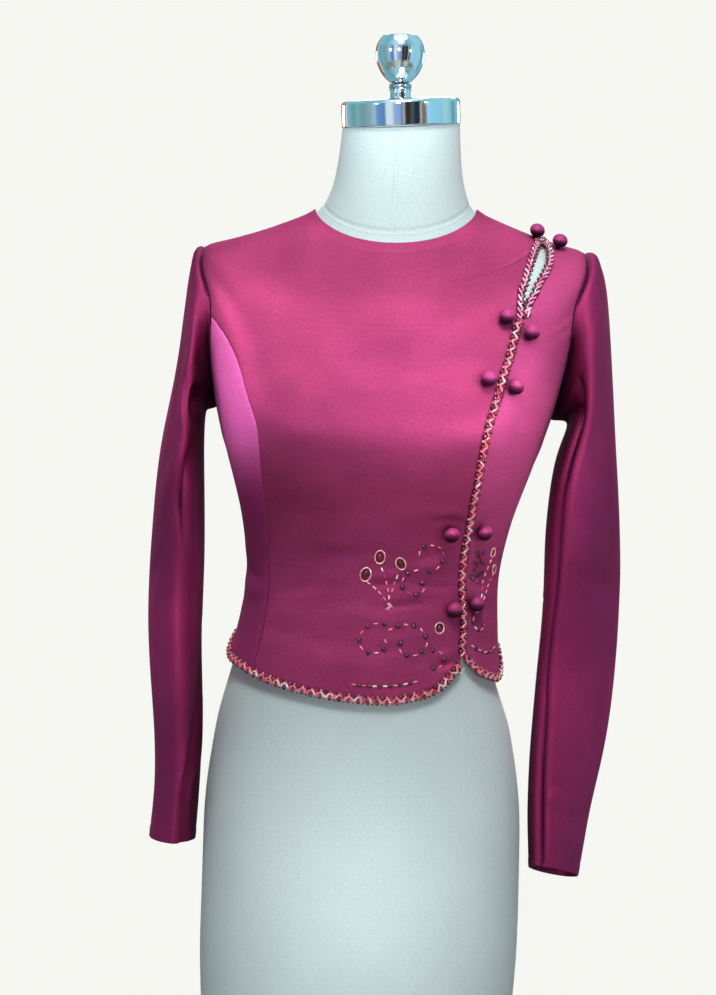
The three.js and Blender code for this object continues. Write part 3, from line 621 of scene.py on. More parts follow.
def jersey_material(name):
    m, nt, b = new_material(name)
    src = uv_source(nt)
    rows = wave(nt, mapped(nt, src, (1, 1, 1)), 0.0011, "X", 0.6)
    cols = wave(nt, mapped(nt, src, (1, 1, 1)), 0.0013, "Y", 0.6)
    slub = noise(nt, mapped(nt, src, (1.0, 3.0, 1.0)), 260.0, 3.0, 0.6)
    cloud = noise(nt, mapped(nt, src, (1, 1, 1)), 14.0, 2.0)
    weave = math_node(nt, "MULTIPLY", rows, cols)
    base = mix_colour(nt, ramp(nt, cloud, [(0.3, (0, 0, 0)), (0.7, (1, 1, 1))]), (0.79, 0.89, 0.92), (0.83, 0.93, 0.955))
    base = mix_colour(nt, 0.45, base, ramp(nt, slub, [(0.3, (0.84, 0.85, 0.85)), (0.7, (1.08, 1.08, 1.08))]), "MULTIPLY")
    nt.links.new(base, b.inputs["Base Color"])
    b.inputs["Roughness"].default_value = 0.92
    b.inputs["Sheen Weight"].default_value = 0.25
    b.inputs["Sheen Roughness"].default_value = 0.6
    nt.links.new(bump(nt, slub, 0.55, 0.0004, bump(nt, weave, 0.5, 0.0003)), b.inputs["Normal"])
    return m


def chrome_material(name, tint=(0.80, 0.84, 0.85), rough=0.05, dull=0.07):
    m, nt, b = new_material(name)
    src = object_source(nt)
    smear = noise(nt, mapped(nt, src, (1.0, 1.0, 0.35)), 60.0, 3.0)
    fine = noise(nt, mapped(nt, src, (1.0, 1.0, 12.0)), 900.0, 2.0)
    nt.links.new(mix_colour(nt, smear, tuple(0.90 * c for c in tint), tint), b.inputs["Base Color"])
    r = math_node(nt, "MULTIPLY_ADD", smear, dull)
    nt.nodes[-1].inputs[2].default_value = rough
    nt.links.new(r, b.inputs["Roughness"])
    b.inputs["Metallic"].default_value = 1.0
    nt.links.new(bump(nt, fine, 0.05, 0.00004), b.inputs["Normal"])
    return m


SATIN = satin_material("satin", (0.545, 0.059, 0.184), (0.430, 0.045, 0.146))
# painted light: lit and shaded copies of the one satin. The side panel is brighter and violet, the left front a little
# brighter, and the sleeves darker, with wider, darker painted shade in their hollows
SATIN_SIDE_LIT = satin_material("satin_side_panel_lit", (0.86, 0.136, 0.455), (0.74, 0.113, 0.390), 1.0, 0.62, metal=0.15, painted_falloff=(0.36, 0.56))
SATIN_LEFT_LIT = satin_material("satin_left_panel_lit", (0.600, 0.072, 0.228), (0.490, 0.056, 0.182), 1.0, 0.60, metal=0.28)
SATIN_SLEEVE_SHADED = satin_material("satin_sleeve_shaded", (0.400, 0.031, 0.132), (0.320, 0.024, 0.106), 1.0, 0.54, metal=0.50, along=0.55, reach=0.060, darkest_painted_shade=0.02, knees=(0.26, 0.56, 0.88))
SATIN_IN = satin_material("satin_inside", (0.30, 0.028, 0.12), (0.27, 0.025, 0.105), 0.8, 0.5)
SATIN_BALL = satin_material("satin_button", (0.62, 0.074, 0.26), (0.58, 0.068, 0.24), 0.9, 0.50, use_uv=False, metal=0.25)
THREAD = thread_material("thread", (0.085, 0.006, 0.030))
GREY_THREAD = thread_material("form_thread", (0.40, 0.42, 0.40), 0.8)
BEAD_METAL = bead_material("bead_metal", 0.40, 0.22, 0.30, 0.26)
BEAD_GLASS = bead_material("bead_glass", 0.10, 0.10, 0.8)
JERSEY = jersey_material("form_jersey")
CHROME = chrome_material("polished_metal")
DARK_RING = chrome_material("dark_ring", (0.42, 0.46, 0.47), 0.16, 0.1)


# ------------------------------------------------------------------ cloth panels
def edge_field(points, line):
    """Distance from a dense polyline in mm, and the place along it."""
    line = np.asarray(line, float)
    d = np.concatenate([[0], np.cumsum(np.linalg.norm(np.diff(line, axis=0), axis=1))])
    at = np.append(np.arange(0, d[-1], 0.4), d[-1])
    fine = np.stack([np.interp(at, d, line[:, k]) for k in range(3)], 1)
    tree = KDTree(len(fine))
    for i, p in enumerate(fine):
        tree.insert(p, i)
    tree.balance()
    found = [tree.find(p) for p in points.reshape(-1, 3)]
    shape = points.shape[:-1]
    return np.array([f[2] for f in found]).reshape(shape), at[[f[1] for f in found]].reshape(shape)


def wander(x, seed, wavelength):
    """A smooth random curve of about unit size along x."""
    rng = np.random.default_rng(seed)
    y = np.zeros_like(x, dtype=float)
    for k in range(5):
        w = wavelength * rng.uniform(0.6, 1.9)
        y += rng.uniform(0.5, 1.0) * np.sin(2 * math.pi * x / w + rng.uniform(0, 6.28))
    return y / 2.0


def folds_on(base, folds):
    """Height in mm from a list of folds. A fold: points (phi, level), height, half width."""
    d = np.zeros(base.shape[:-1])
    for pts, height, width in folds:
        pts = curve_points(pts, 2.0)
        line = cloth(pts[:, 0], pts[:, 1], CLOTH_WALL)
        line = curve_points(line, 6.0) if len(line) > 3 else line
        n = len(line)
        taper = np.sin(np.pi * np.clip((np.arange(n) + 0.6) / (n + 0.2), 0, 1)) ** 0.7
        box_lo, box_hi = line.min(0) - 4 * width, line.max(0) + 4 * width
        near = np.all((base > box_lo) & (base < box_hi), -1)
        if not near.any():
            continue
        dist, _, _, val = polyline_field(base[near], line, taper[:, None])
        d[near] += height * val[:, 0] * np.exp(-((dist / width) ** 2))
    return d


_CP, _CS = np.arange(-69, 69.1, 3.0), np.arange(436, 778, 1.0)


def _even_out(p, l, wide):
    """A curve evened out over `wide` mm along its own length."""
    at = np.arange(0, l[-1], 0.5)
    line = np.stack([np.interp(at, l, p[:, k]) for k in range(3)], 1)
    n = int(8 * wide)
    w = np.exp(-0.5 * (np.arange(-n, n + 1) * 0.5 / wide) ** 2)
    w /= w.sum()
    pad = np.concatenate([2 * line[0] - line[n:0:-1], line, 2 * line[-1] - line[-2:-n - 2:-1]])
    mean = np.stack([np.convolve(pad[:, c], w, "valid") for c in range(3)], 1)
    return np.stack([np.interp(l, at, mean[:, c]) for c in range(3)], 1)


def _chest_table():
    """How far the front moves to lie evenly over the bust, as stretched satin does between its seams."""
    S = np.arange(380, 793.1, 1.0)
    keep = (S >= _CS[0]) & (S <= _CS[-1])
    low = 1 - smoothstep(630, 690, S)
    rows = []
    for phi in _CP:
        p = form(np.full(S.shape, phi), S)
        l = np.concatenate([[0], np.cumsum(np.linalg.norm(np.diff(p, axis=0), axis=1))])
        q = _even_out(p, l, 19.0) * low[:, None] + _even_out(p, l, 10.0) * (1 - low)[:, None]
        rows.append(((q - p) * normal(np.full(S.shape, phi), S)).sum(-1)[keep])
    d = np.array(rows)
    P, Q = np.meshgrid(_CP, _CS, indexing="ij")
    d = d * smoothstep(436, 478, Q) + 4.8 * np.exp(-(((Q - 539) / 52.0) ** 2)) * smoothstep(436, 478, Q)
    d = d * (1 - smoothstep(752, 772, Q)) * (1 - smoothstep(50, 68, np.abs(P)))
    return 0.25 * np.roll(d, 1, 0) + 0.5 * d + 0.25 * np.roll(d, -1, 0)


_CHEST = _chest_table()


def chest_even(phi, s):
    phi, s = np.broadcast_arrays(np.asarray(phi, float), np.asarray(s, float))
    x = np.clip((phi - _CP[0]) / 3.0, 0, len(_CP) - 1.001)
    y = np.clip(s - _CS[0], 0, len(_CS) - 1.001)
    i, j = x.astype(int), y.astype(int)
    u, v = x - i, y - j
    d = _CHEST[i, j] * (1 - u) * (1 - v) + _CHEST[i + 1, j] * u * (1 - v) + _CHEST[i, j + 1] * (1 - u) * v + _CHEST[i + 1, j + 1] * u * v
    return np.where((np.abs(phi) < 69) & (s > 436) & (s < 777), d, 0.0)


FRONT_FOLDS = [
    ([(0, 423), (6, 423.5), (13, 427)], -0.75, 3.2),
    ([(-2, 431), (6, 431), (12, 434)], 0.45, 4.5),
    ([(5, 403), (13, 405), (24, 409)], -0.55, 3.0),
    ([(8, 411), (18, 414), (27, 418)], 0.40, 4.0),
    ([(29, 352), (34, 353), (40, 357)], -1.05, 3.4),
    ([(28, 361), (34, 362), (39.5, 367)], 0.60, 4.2),
    ([(23, 483), (29, 486), (36, 484)], -0.65, 3.0),
    ([(22, 491), (29, 494), (35.5, 492)], 0.45, 4.0),
    ([(18, 437), (25, 441), (33, 444)], 0.55, 5.5),
    ([(16, 447), (24, 452), (32, 455)], -0.30, 4.0),
    ([(-5, 395), (3, 392), (12, 388)], 0.35, 6.0),
    ([(-20, 405), (-8, 407), (2, 412)], -0.30, 6.0),
    ([(-30, 432), (-18, 428), (-8, 428)], 0.28, 7.0),
    ([(-46, 412), (-36, 415), (-26, 421)], -0.40, 5.5),
    ([(-45, 395), (-34, 392), (-24, 388)], 0.30, 7.0),
    ([(-14, 352), (-2, 350), (9, 349)], 0.30, 5.0),
    ([(-40, 372), (-26, 368), (-12, 368)], -0.22, 7.0),
    ([(30, 575), (20, 570), (8, 574)], 0.20, 8.0),
    ([(-58, 728), (-46, 716), (-36, 700)], 0.25, 7.0),
    ([(12, 470), (13.5, 520), (16, 560)], 0.22, 9.0),
]
LEFT_FOLDS = [
    ([(70, 731), (62, 724), (56, 712)], 0.55, 2.8),
    ([(76, 731), (66, 722), (58, 706)], -0.40, 2.6),
    ([(57, 688), (50, 684), (45, 683)], -0.35, 2.3),
    ([(57, 681), (50, 676), (44, 673)], 0.35, 2.4),
    ([(58, 674), (51, 668), (46, 664)], -0.40, 2.4),
    ([(58, 666), (52, 660), (47, 655)], 0.30, 2.6),
    ([(60, 655), (54, 648), (49, 643)], -0.25, 2.8),
    ([(44, 432), (56, 430), (70, 436)], -0.45, 4.5),
    ([(44, 420), (58, 416), (74, 420)], 0.40, 5.5),
    ([(44, 405), (60, 402), (78, 407)], -0.35, 5.0),
    ([(46, 391), (60, 386), (80, 390)], 0.35, 5.0),
    ([(48, 372), (60, 369), (74, 372)], -0.35, 4.0),
    ([(44, 484), (50, 487), (56, 486)], -0.35, 3.0),
    ([(86, 560), (76, 548), (66, 540)], 0.35, 5.0),
    ([(88, 545), (78, 532), (68, 522)], -0.35, 5.0),
]
SIDE_FOLDS = [
    ([(-86, 560), (-74, 548), (-62, 540)], 0.40, 5.0),
    ([(-88, 545), (-76, 534), (-64, 524)], -0.35, 5.0),
    ([(-84, 575), (-72, 570), (-58, 572)], -0.30, 4.5),
    ([(-86, 436), (-72, 428), (-56, 424)], -0.55, 5.0),
    ([(-88, 421), (-72, 414), (-55, 412)], 0.50, 5.5),
    ([(-86, 404), (-72, 399), (-56, 398)], -0.40, 5.0),
    ([(-86, 452), (-74, 446), (-60, 442)], 0.35, 5.5),
    ([(-84, 380), (-70, 378), (-54, 380)], 0.25, 6.0),
]
BACK_FOLDS = [
    ([(128, 446), (150, 437), (172, 434), (190, 438)], 0.9, 6.5),
    ([(132, 430), (156, 421), (180, 420), (204, 426)], -1.0, 6.0),
    ([(168, 411), (188, 407), (210, 412), (226, 420)], 0.9, 6.5),
    ([(140, 398), (164, 394), (186, 397)], -0.6, 7.0),
    ([(196, 456), (214, 452), (232, 458)], 0.7, 6.5),
    ([(112, 590), (126, 610), (138, 640)], 0.7, 7.0),
    ([(108, 600), (120, 622), (130, 652)], -0.6, 6.0),
    ([(248, 592), (236, 610), (224, 638)], 0.65, 7.0),
    ([(252, 604), (240, 626), (230, 655)], -0.55, 6.0),
    ([(150, 700), (160, 690), (172, 686)], 0.3, 9.0),
    ([(104, 470), (118, 462), (134, 460)], -0.5, 6.0),
    ([(256, 474), (242, 466), (228, 463)], -0.5, 6.0),
    ([(104, 455), (118, 447), (132, 446)], 0.45, 6.0),
]


def deepened(folds, below, by):
    return [(pts, height * (by if max(v for _, v in pts) < below else 1.0), width) for pts, height, width in folds]


FRONT_FOLDS = deepened(FRONT_FOLDS, 500, 2.1) + [
    ([(-28, 452), (-14, 449), (-2, 452), (8, 458)], -0.75, 5.0),
    ([(-34, 462), (-20, 460), (-6, 462)], 0.60, 6.5),
    ([(-50, 380), (-38, 376), (-28, 379)], -0.70, 5.0),
    ([(-8, 368), (2, 364), (12, 366), (20, 371)], -0.85, 4.0),
    ([(2, 377), (12, 374), (22, 378)], 0.70, 4.6),
    ([(14, 344), (22, 347), (30, 354)], 0.85, 3.6),
    ([(20, 425), (28, 422), (37, 424)], -0.95, 3.4),
    ([(24, 398), (31, 396), (38, 399)], 0.80, 3.6),
    ([(6, 505), (18, 503), (30, 508)], -0.55, 6.0),
]
LEFT_FOLDS = deepened(LEFT_FOLDS, 500, 1.9)
SIDE_FOLDS = deepened(SIDE_FOLDS, 500, 1.7)
BACK_FOLDS = deepened(BACK_FOLDS, 1000, 1.7)
BACK_DARTS = [[(146, 372), (145, 425), (147, 480), (150, 540)], [(214, 372), (215, 425), (213, 480), (210, 540)]]

HEM_F = np.concatenate([[0, 0.0022, 0.0055, 0.010, 0.017, 0.027, 0.041], np.linspace(0.062, 1, 36)[:-1]])
_near_tip = ARMHOLE_HALF * (1 - np.cos(np.radians([0, 2, 4, 6, 9, 12, 16, 20, 25, 30, 35])))


def levels(top, top_edge):
    s = np.concatenate([
        np.arange(WAIST, 577.5, 2.5), UNDERARM - np.array([1.2, 0.5]), UNDERARM + _near_tip,
        np.arange(UNDERARM + 15.8, 698, 2.4), np.arange(699, 713, 1.7), SHOULDER_TIP - _near_tip[::-1],
        np.arange(SHOULDER_TIP + 0.5, 750, 0.62), np.arange(750.4, NECKLINE - 1.3, 0.95),
    ])
    s = s[s < top - top_edge[-1]]
    return np.concatenate([s, top - np.array(top_edge[::-1]), [top]])


def row_columns(phi_l, phi_r, level, columns, close):
    """Columns evenly spaced in mm along one row, closer near its two ends."""
    f = np.linspace(0, 1, 181)
    phi = lerp(phi_l, phi_r, f)
    p = cloth(phi, level(phi), CLOTH_WALL)
    d = np.concatenate([[0], np.cumsum(np.linalg.norm(np.diff(p, axis=0), axis=1))])
    w = d[-1]
    k = np.array(close) * min(1.0, w / 30.0)
    n = columns - 2 * len(k)
    target = np.concatenate([k, np.linspace(k[-1], w - k[-1], n + 2)[1:-1], w - k[::-1]])
    return np.interp(target, d, phi), target, w


CLOSE = [0, 0.22, 0.55, 1.0, 1.7, 2.7]


def panel_grid(left, right, columns, top, top_edge, ref):
    rows_phi, rows_s, rows_u = [], [], []

    def add(phi_l, phi_r, level):
        phi, dist, w = row_columns(phi_l, phi_r, level, columns, CLOSE)
        s = level(phi)
        rows_phi.append(phi)
        rows_s.append(np.broadcast_to(s, phi.shape).astype(float))
        zero = np.interp(ref, phi, dist) if phi[0] <= ref <= phi[-1] else (0.0 if ref < phi[0] else w)
        rows_u.append(dist - zero)

    for f in HEM_F:
        s0 = lerp(345, WAIST, f)
        l, r = float(left(s0)), float(right(s0))
        add(l + gap_angle(left, s0), r - gap_angle(right, s0), lambda phi, f=f: lerp(hem_at(phi), WAIST, f))
    for s in levels(top, top_edge):
        l, r = float(left(s)), float(right(s))
        gl, gr = gap_angle(left, s), gap_angle(right, s)
        add(l + gl, max(l + gl + 1e-3, r - gr), lambda phi, s=s: np.full(np.shape(phi), float(s)))
    return np.array(rows_phi), np.array(rows_s), np.array(rows_u)


def gap_angle(edge, s):
    p = form([float(edge(s)) - 0.5, float(edge(s)) + 0.5], [s, s])
    mm = np.linalg.norm(p[1] - p[0])
    slant = (float(edge(s + 1)) - float(edge(s - 1))) / 2 * mm
    return (SEAM_GAP / 2) * min(3.0, math.sqrt(1 + slant * slant)) / mm


def panel(name, left, right, columns, top, top_edge, ref, folds, seams, free, seed, darts=()):
    """seams and free name the grid sides: left, right, top, bottom. A seam dips and puckers, a free edge is a turned fold."""
    phi, s, u = panel_grid(left, right, columns, top, top_edge, ref)
    base = cloth(phi, s, CLOTH_WALL)
    sides = {"left": base[:, 0], "right": base[:, -1], "bottom": base[0], "top": base[-1]}
    d = folds_on(base, folds) + (chest_even(phi, s) if left is not back_edge else 0.0)
    nearest = np.full(phi.shape, 1e9)
    for side in list(seams) + list(free):
        line = sides[side]
        if np.linalg.norm(np.diff(line, axis=0), axis=1).sum() < 6:
            continue
        e, along = edge_field(base, line)
        nearest = np.minimum(nearest, e)
        if side in seams:
            depth, pucker, wavelength = seams[side]
            fade = np.clip(1.0, 0, 1)
            d -= depth * np.exp(-((e / 1.5) ** 2)) + 0.35 * depth * np.exp(-((e / 5.0) ** 2))
            wave_ = np.sin(2 * math.pi * along / wavelength + 1.8 * wander(along, seed + len(side), wavelength * 4))
            d += pucker * wave_ * (0.55 + 0.45 * wander(along, seed + 7 * len(side), 60.0)) * np.exp(-((e / (0.85 * wavelength)) ** 2)) * fade
        else:
            d += free[side] * np.exp(-(((e - 5.0) / 3.2) ** 2)) - 0.12 * np.exp(-(((e - 11.0) / 1.2) ** 2)) * (free[side] > 0.05)
    for dart in darts:
        pts = curve_points(dart, 3.0)
        e, along = edge_field(base, cloth(pts[:, 0], pts[:, 1], CLOTH_WALL))
        ends = np.sin(np.clip(along / along.max(), 0, 1) * math.pi) ** 0.35
        d -= (0.75 * np.exp(-((e / 1.1) ** 2)) + 0.5 * np.exp(-((e / 6.0) ** 2))) * ends
        d += 0.12 * np.sin(2 * math.pi * along / 9.0 + wander(along, seed, 40)) * np.exp(-((e / 6.0) ** 2)) * ends
    r = CLOTH_WALL / 2
    half = r * np.sqrt(np.clip(1 - (1 - np.minimum(nearest / r, 1)) ** 2, 0.006, 1))
    mid = cloth(phi, s, r + d)
    n = grid_normals(mid, False)
    outer, inner = mid + n * half[..., None], mid - n * half[..., None]
    vref = np.concatenate([[0], np.cumsum(np.linalg.norm(np.diff(form(ref, FINE[::4]), axis=0), axis=1))])
    uv = np.stack([u, np.interp(s, FINE[::4], vref)], -1) * 0.001
    o = shell(name, outer, inner, uv, [SATIN_SIDE_LIT if name.endswith("side_front_right") else SATIN_LEFT_LIT if name.endswith("front_left") else SATIN])
    return o, (phi, s, d, mid)


PANELS = {}


def build_panels():
    PANELS["front_main"] = panel(
        "cloth_front_main", lambda s: princess(s) if s < PRINCESS_TOP else -front_edge(s),
        lambda s: opening(s) if s <= KEYHOLE_FOOT else np.minimum(90, key_inner(s)),
        136, NECKLINE, [0.1, 0.28, 0.55, 1.0], 0.0, FRONT_FOLDS,
        {"left": (0.55, 0.16, 7.5)}, {"bottom": 0.10, "top": 0.12, "right": 0.04}, 11)
    PANELS["side_front_right"] = panel(
        "cloth_side_front_right", lambda s: -front_edge(s), princess,
        40, 672.5, [0.3, 0.8, 1.5], -65.0, SIDE_FOLDS,
        {"left": (0.5, 0.14, 9.0), "right": (0.55, 0.16, 7.5)}, {"bottom": 0.10}, 23)
    PANELS["front_left"] = panel(
        "cloth_front_left", lambda s: opening(s) if s <= KEYHOLE_FOOT else key_outer(s), front_edge,
        66, 740.6, [0.08, 0.2, 0.4], 60.0, LEFT_FOLDS,
        {"right": (0.5, 0.15, 9.0)}, {"bottom": 0.10, "left": 0.04}, 37)
    PANELS["back"] = panel(
        "cloth_back", back_edge, lambda s: 360 - back_edge(s),
        124, NECKLINE, [0.1, 0.28, 0.55, 1.0], 180.0, BACK_FOLDS,
        {"left": (0.5, 0.14, 9.0), "right": (0.5, 0.14, 9.0)}, {"bottom": 0.10, "top": 0.12}, 53, BACK_DARTS)


# ------------------------------------------------------------------ sleeves
def sleeve_frame(table, side):
    """Column functions along the sleeve, in mm from the armhole, and its length."""
    T = np.array(table, float)
    mids = np.stack([(T[:, 0] + T[:, 2]) / 2, (T[:, 1] + T[:, 3]) / 2], 1)
    t = np.concatenate([[0], np.cumsum(np.linalg.norm(np.diff(mids, axis=0), axis=1))])
    fine = np.arange(0, t[-1] + 0.5, 1.0)
    fine[-1] = t[-1]
    cols = {}
    for i, name in enumerate(SLEEVE_COLUMNS):
        y = smooth_table(t, T[:, i])(fine)
        w = smoothstep(18, 60, fine)
        y = blurred(y, 2.0, 1.0) * (1 - w) + blurred(y, 13.0, 1.0) * w
        cols[name] = lambda x, y=y: np.interp(x, fine, y)
    return cols, t


def sleeve_mid(table, side, along, turn):
    """Mid surface of a sleeve wall at distances `along` (rows) and angles `turn` (columns)."""
    cols, _ = sleeve_frame(table, side)
    first = {name: table[0][i] for i, name in enumerate(SLEEVE_COLUMNS)}

    def planar(col, tn):
        t = tn * RAD
        c, si = np.cos(t), np.sin(t)
        cx = np.sign(c) * np.abs(c) ** col("pinch")
        lean = col("lean")
        u = (cx - lean * si) / np.sqrt(1 + lean * lean)
        length = np.hypot(col("outX") - col("inX"), col("outZ") - col("inZ"))
        u = u + col("dent") * np.exp(-(((tn - 135) / 24) ** 2)) / (length / 2)
        yc, yh = (col("front") + col("back")) / 2, (col("back") - col("front")) / 2
        k = (1 + u) / 2
        return np.stack([side * lerp(col("inX"), col("outX"), k), yc - yh * si, lerp(col("inZ"), col("outZ"), k) + col("rise") * si], -1)

    A, Tn = np.meshgrid(along, turn, indexing="ij")
    p = planar(lambda name: cols[name](A), Tn)
    t = Tn * RAD
    sl = ARMHOLE_MID + (ARMHOLE_HALF - 1.1) * np.cos(t)
    si = np.sin(t)
    inset = 0.95 * np.abs(si) ** 0.4
    tm = np.minimum(Tn, 360 - Tn)
    bite = np.where(si >= 0, np.maximum(0, bite_front(tm) - inset), -np.maximum(0, ARMHOLE_BACK * np.abs(si) ** 0.8 - inset))
    loop = cloth(side * (90 - bite), sl, CLOTH_WALL * 0.8)
    q = planar(lambda name: np.full(A.shape, float(first[name])), Tn)
    mid = p + cols["hold"](A)[..., None] * (loop - q)
    # the allowance goes in under the bodice
    for row in np.nonzero(np.asarray(along) < 0)[0]:
        deep = -float(along[row])
        under = bite[row] + np.sign(si[row]) * 0.75 * deep * np.abs(si[row]) ** 0.4
        mid[row] = cloth(side * (90 - under), ARMHOLE_MID + (ARMHOLE_HALF - 1.1 + deep) * np.cos(t[row]), CLOTH_WALL * 0.8 - 0.75 * deep)
    return mid, A, Tn


def crease(points, depth, minus, plus, power=2.0):
    """points: (mm along, degrees round) pairs; depth: mm at each; minus and plus: half widths before and after the line."""
    return {"points": points, "depth": depth, "minus": minus, "plus": plus, "power": power}


SLEEVE_LEFT_FOLDS = [
    # the long front fold that rolls over the inner strip, from under the arm to the cuff
    crease([(14, 116), (32, 110), (48, 106), (62, 102), (80, 94), (96, 92), (112, 92), (132, 96), (144, 99), (158, 103), (176, 103), (204, 103), (248, 103), (288, 106),
            (320, 105), (360, 100), (390, 99), (422, 99), (452, 98), (496, 98)],
           [-0.5, -3.0, -6.0, -7.0, -7.5, -7.0, -6.5, -6.0, -5.6, -5.2, -5.0, -5.0, -4.8, -4.6, -4.6, -4.8, -5.2, -5.6, -5.6, -4.6], 2.8, 12.0),
    crease([(24, 95), (48, 89), (66, 84), (90, 77), (120, 77), (150, 85), (200, 89), (250, 90), (300, 92), (350, 87), (400, 85), (452, 84), (492, 85)],
           [0.4, 1.6, 2.0, 2.2, 2.0, 1.7, 1.5, 1.4, 1.3, 1.5, 1.6, 1.4, 0.8], 9.0, 6.0),
    crease([(14, 150), (34, 132), (56, 116), (78, 108)], [-2.0, -5.5, -6.0, -2.5], 8.0, 9.0),
    crease([(18, 142), (34, 126), (54, 110)], [0.5, 1.8, 0.6], 2.6, 3.2),
    crease([(24, 158), (52, 154), (90, 138), (124, 114)], [-0.5, -0.8, -0.8, -0.4], 1.0, 1.0),
    crease([(252, 96), (252, 118), (252, 140), (253, 162)], [-0.9, -1.0, -0.9, -0.3], 1.1, 1.1),
    crease([(247, 104), (247, 130), (248, 155)], [0.35, 0.45, 0.2], 3.0, 2.0),
    # small wrinkles above the cuff and at the elbow
    crease([(426, 91), (421, 72), (428, 50)], [-0.5, -0.9, -0.2], 3.6, 3.2),
    crease([(436, 91), (432, 70), (441, 46)], [0.5, 0.9, 0.2], 4.0, 3.6),
    crease([(450, 90), (447, 72), (454, 54)], [-0.4, -0.7, -0.2], 3.2, 3.2),
    crease([(402, 92), (398, 78), (404, 62)], [-0.2, -0.5, -0.1], 4.0, 4.0),
    crease([(230, 96), (226, 74), (236, 44), (240, 12)], [-0.3, -0.7, -0.9, -0.3], 7.0, 7.0),
    crease([(262, 96), (258, 70), (262, 40), (270, 4)], [0.3, 0.8, 0.9, 0.3], 8.0, 8.0),
    crease([(292, 94), (290, 66), (298, 36)], [-0.2, -0.7, -0.2], 7.0, 7.0),
    crease([(150, 70), (190, 56), (240, 40), (290, 30)], [0.2, 1.0, 1.0, 0.2], 14.0, 14.0),
    crease([(70, 40), (120, 30), (180, 24), (230, 10)], [-0.3, -1.0, -1.2, -0.3], 12.0, 12.0),
    # the hidden side
    crease([(16, 196), (50, 222), (96, 238), (150, 246)], [-1.5, -4.5, -4.0, -1.0], 5.5, 8.0),
    crease([(12, 238), (60, 262), (120, 278), (190, 290)], [-0.6, -2.6, -2.4, -0.5], 7.0, 7.0),
    crease([(216, 206), (232, 236), (230, 272), (222, 304)], [-0.6, -2.4, -2.4, -0.5], 4.5, 6.0),
    crease([(240, 204), (250, 240), (246, 276), (240, 306)], [0.5, 1.8, 1.8, 0.4], 6.0, 6.0),
    crease([(266, 208), (276, 242), (268, 280)], [-0.5, -2.2, -0.5], 5.0, 6.0),
    crease([(300, 216), (344, 232), (400, 240), (470, 246)], [-0.4, -1.9, -2.2, -1.0], 5.0, 9.0),
    crease([(320, 276), (370, 286), (430, 292)], [-0.3, -1.4, -0.4], 8.0, 8.0),
    crease([(330, 180), (390, 186), (450, 184), (496, 182)], [-0.3, -1.8, -2.0, -1.2], 6.0, 6.0),
]
SLEEVE_RIGHT_FOLDS = [
    # the hooked pocket above the underarm
    crease([(8, 140), (24, 130), (40, 116), (54, 104), (66, 95), (76, 97), (86, 109), (95, 120)], [-1.0, -3.0, -5.0, -7.0, -7.5, -6.5, -4.5, -1.5], 2.6, 8.0),
    crease([(26, 142), (48, 128), (66, 120), (84, 132)], [-2.5, -6.0, -7.0, -3.0], 9.0, 10.0),
    crease([(24, 98), (44, 80), (62, 68), (84, 74), (100, 92)], [0.6, 2.0, 2.8, 2.4, 1.0], 9.0, 6.0),
    crease([(20, 150), (38, 140), (54, 132)], [0.4, 1.6, 0.5], 2.8, 2.8),
    # the deep valley down to the elbow
    crease([(92, 124), (110, 118), (128, 104), (148, 88), (168, 83), (186, 92), (204, 106)], [-1.0, -4.0, -7.0, -9.0, -8.0, -4.5, -0.8], 5.0, 13.0),
    crease([(110, 92), (128, 76), (148, 60), (170, 56), (196, 66)], [0.6, 1.8, 2.4, 2.0, 0.6], 10.0, 7.0),
    crease([(130, 142), (160, 126), (196, 124), (240, 138)], [0.5, 2.0, 2.0, 0.4], 9.0, 9.0),
    # the groove beside the cuff
    crease([(276, 172), (312, 162), (338, 152), (364, 147), (394, 134), (410, 122), (428, 112), (452, 112), (474, 114)],
           [-0.4, -2.0, -3.0, -4.5, -5.6, -6.0, -6.2, -6.4, -6.0], 2.8, 7.0),
    crease([(320, 140), (360, 128), (394, 114), (426, 90), (456, 88), (472, 90)], [0.3, 1.2, 1.6, 1.8, 1.6, 1.2], 9.0, 6.0),
    crease([(350, 172), (398, 162), (432, 140), (472, 144)], [0.4, 1.8, 2.2, 1.6], 5.0, 6.0),
    crease([(224, 90), (262, 82), (310, 84), (360, 72)], [0.2, 1.0, 1.0, 0.2], 14.0, 12.0),
    crease([(210, 62), (222, 44), (240, 22)], [-0.3, -1.0, -0.2], 7.0, 7.0),
    crease([(240, 70), (250, 46), (268, 20)], [0.3, 0.8, 0.2], 8.0, 8.0),
    crease([(14, 40), (44, 34), (90, 40), (140, 34)], [0.2, 0.8, 0.8, 0.2], 10.0, 10.0),
    crease([(20, 78), (50, 66), (84, 52), (124, 44)], [-0.3, -1.0, -1.0, -0.2], 8.0, 9.0),
    # the hidden side
    crease([(14, 198), (46, 222), (92, 240), (150, 248)], [-1.5, -4.2, -3.6, -0.8], 5.5, 8.0),
    crease([(12, 242), (56, 264), (110, 280), (176, 288)], [-0.6, -2.4, -2.2, -0.5], 7.0, 7.0),
    crease([(196, 208), (212, 240), (208, 276), (200, 308)], [-0.6, -2.6, -2.4, -0.5], 4.5, 6.0),
    crease([(220, 206), (232, 240), (228, 280), (222, 310)], [0.5, 1.9, 1.8, 0.4], 6.0, 6.0),
    crease([(246, 210), (258, 244), (252, 282)], [-0.5, -2.2, -0.5], 5.0, 6.0),
    crease([(284, 218), (330, 236), (390, 244), (450, 250)], [-0.4, -2.0, -2.2, -0.9], 5.0, 9.0),
    crease([(300, 280), (350, 288), (410, 296)], [-0.3, -1.4, -0.4], 8.0, 8.0),
]


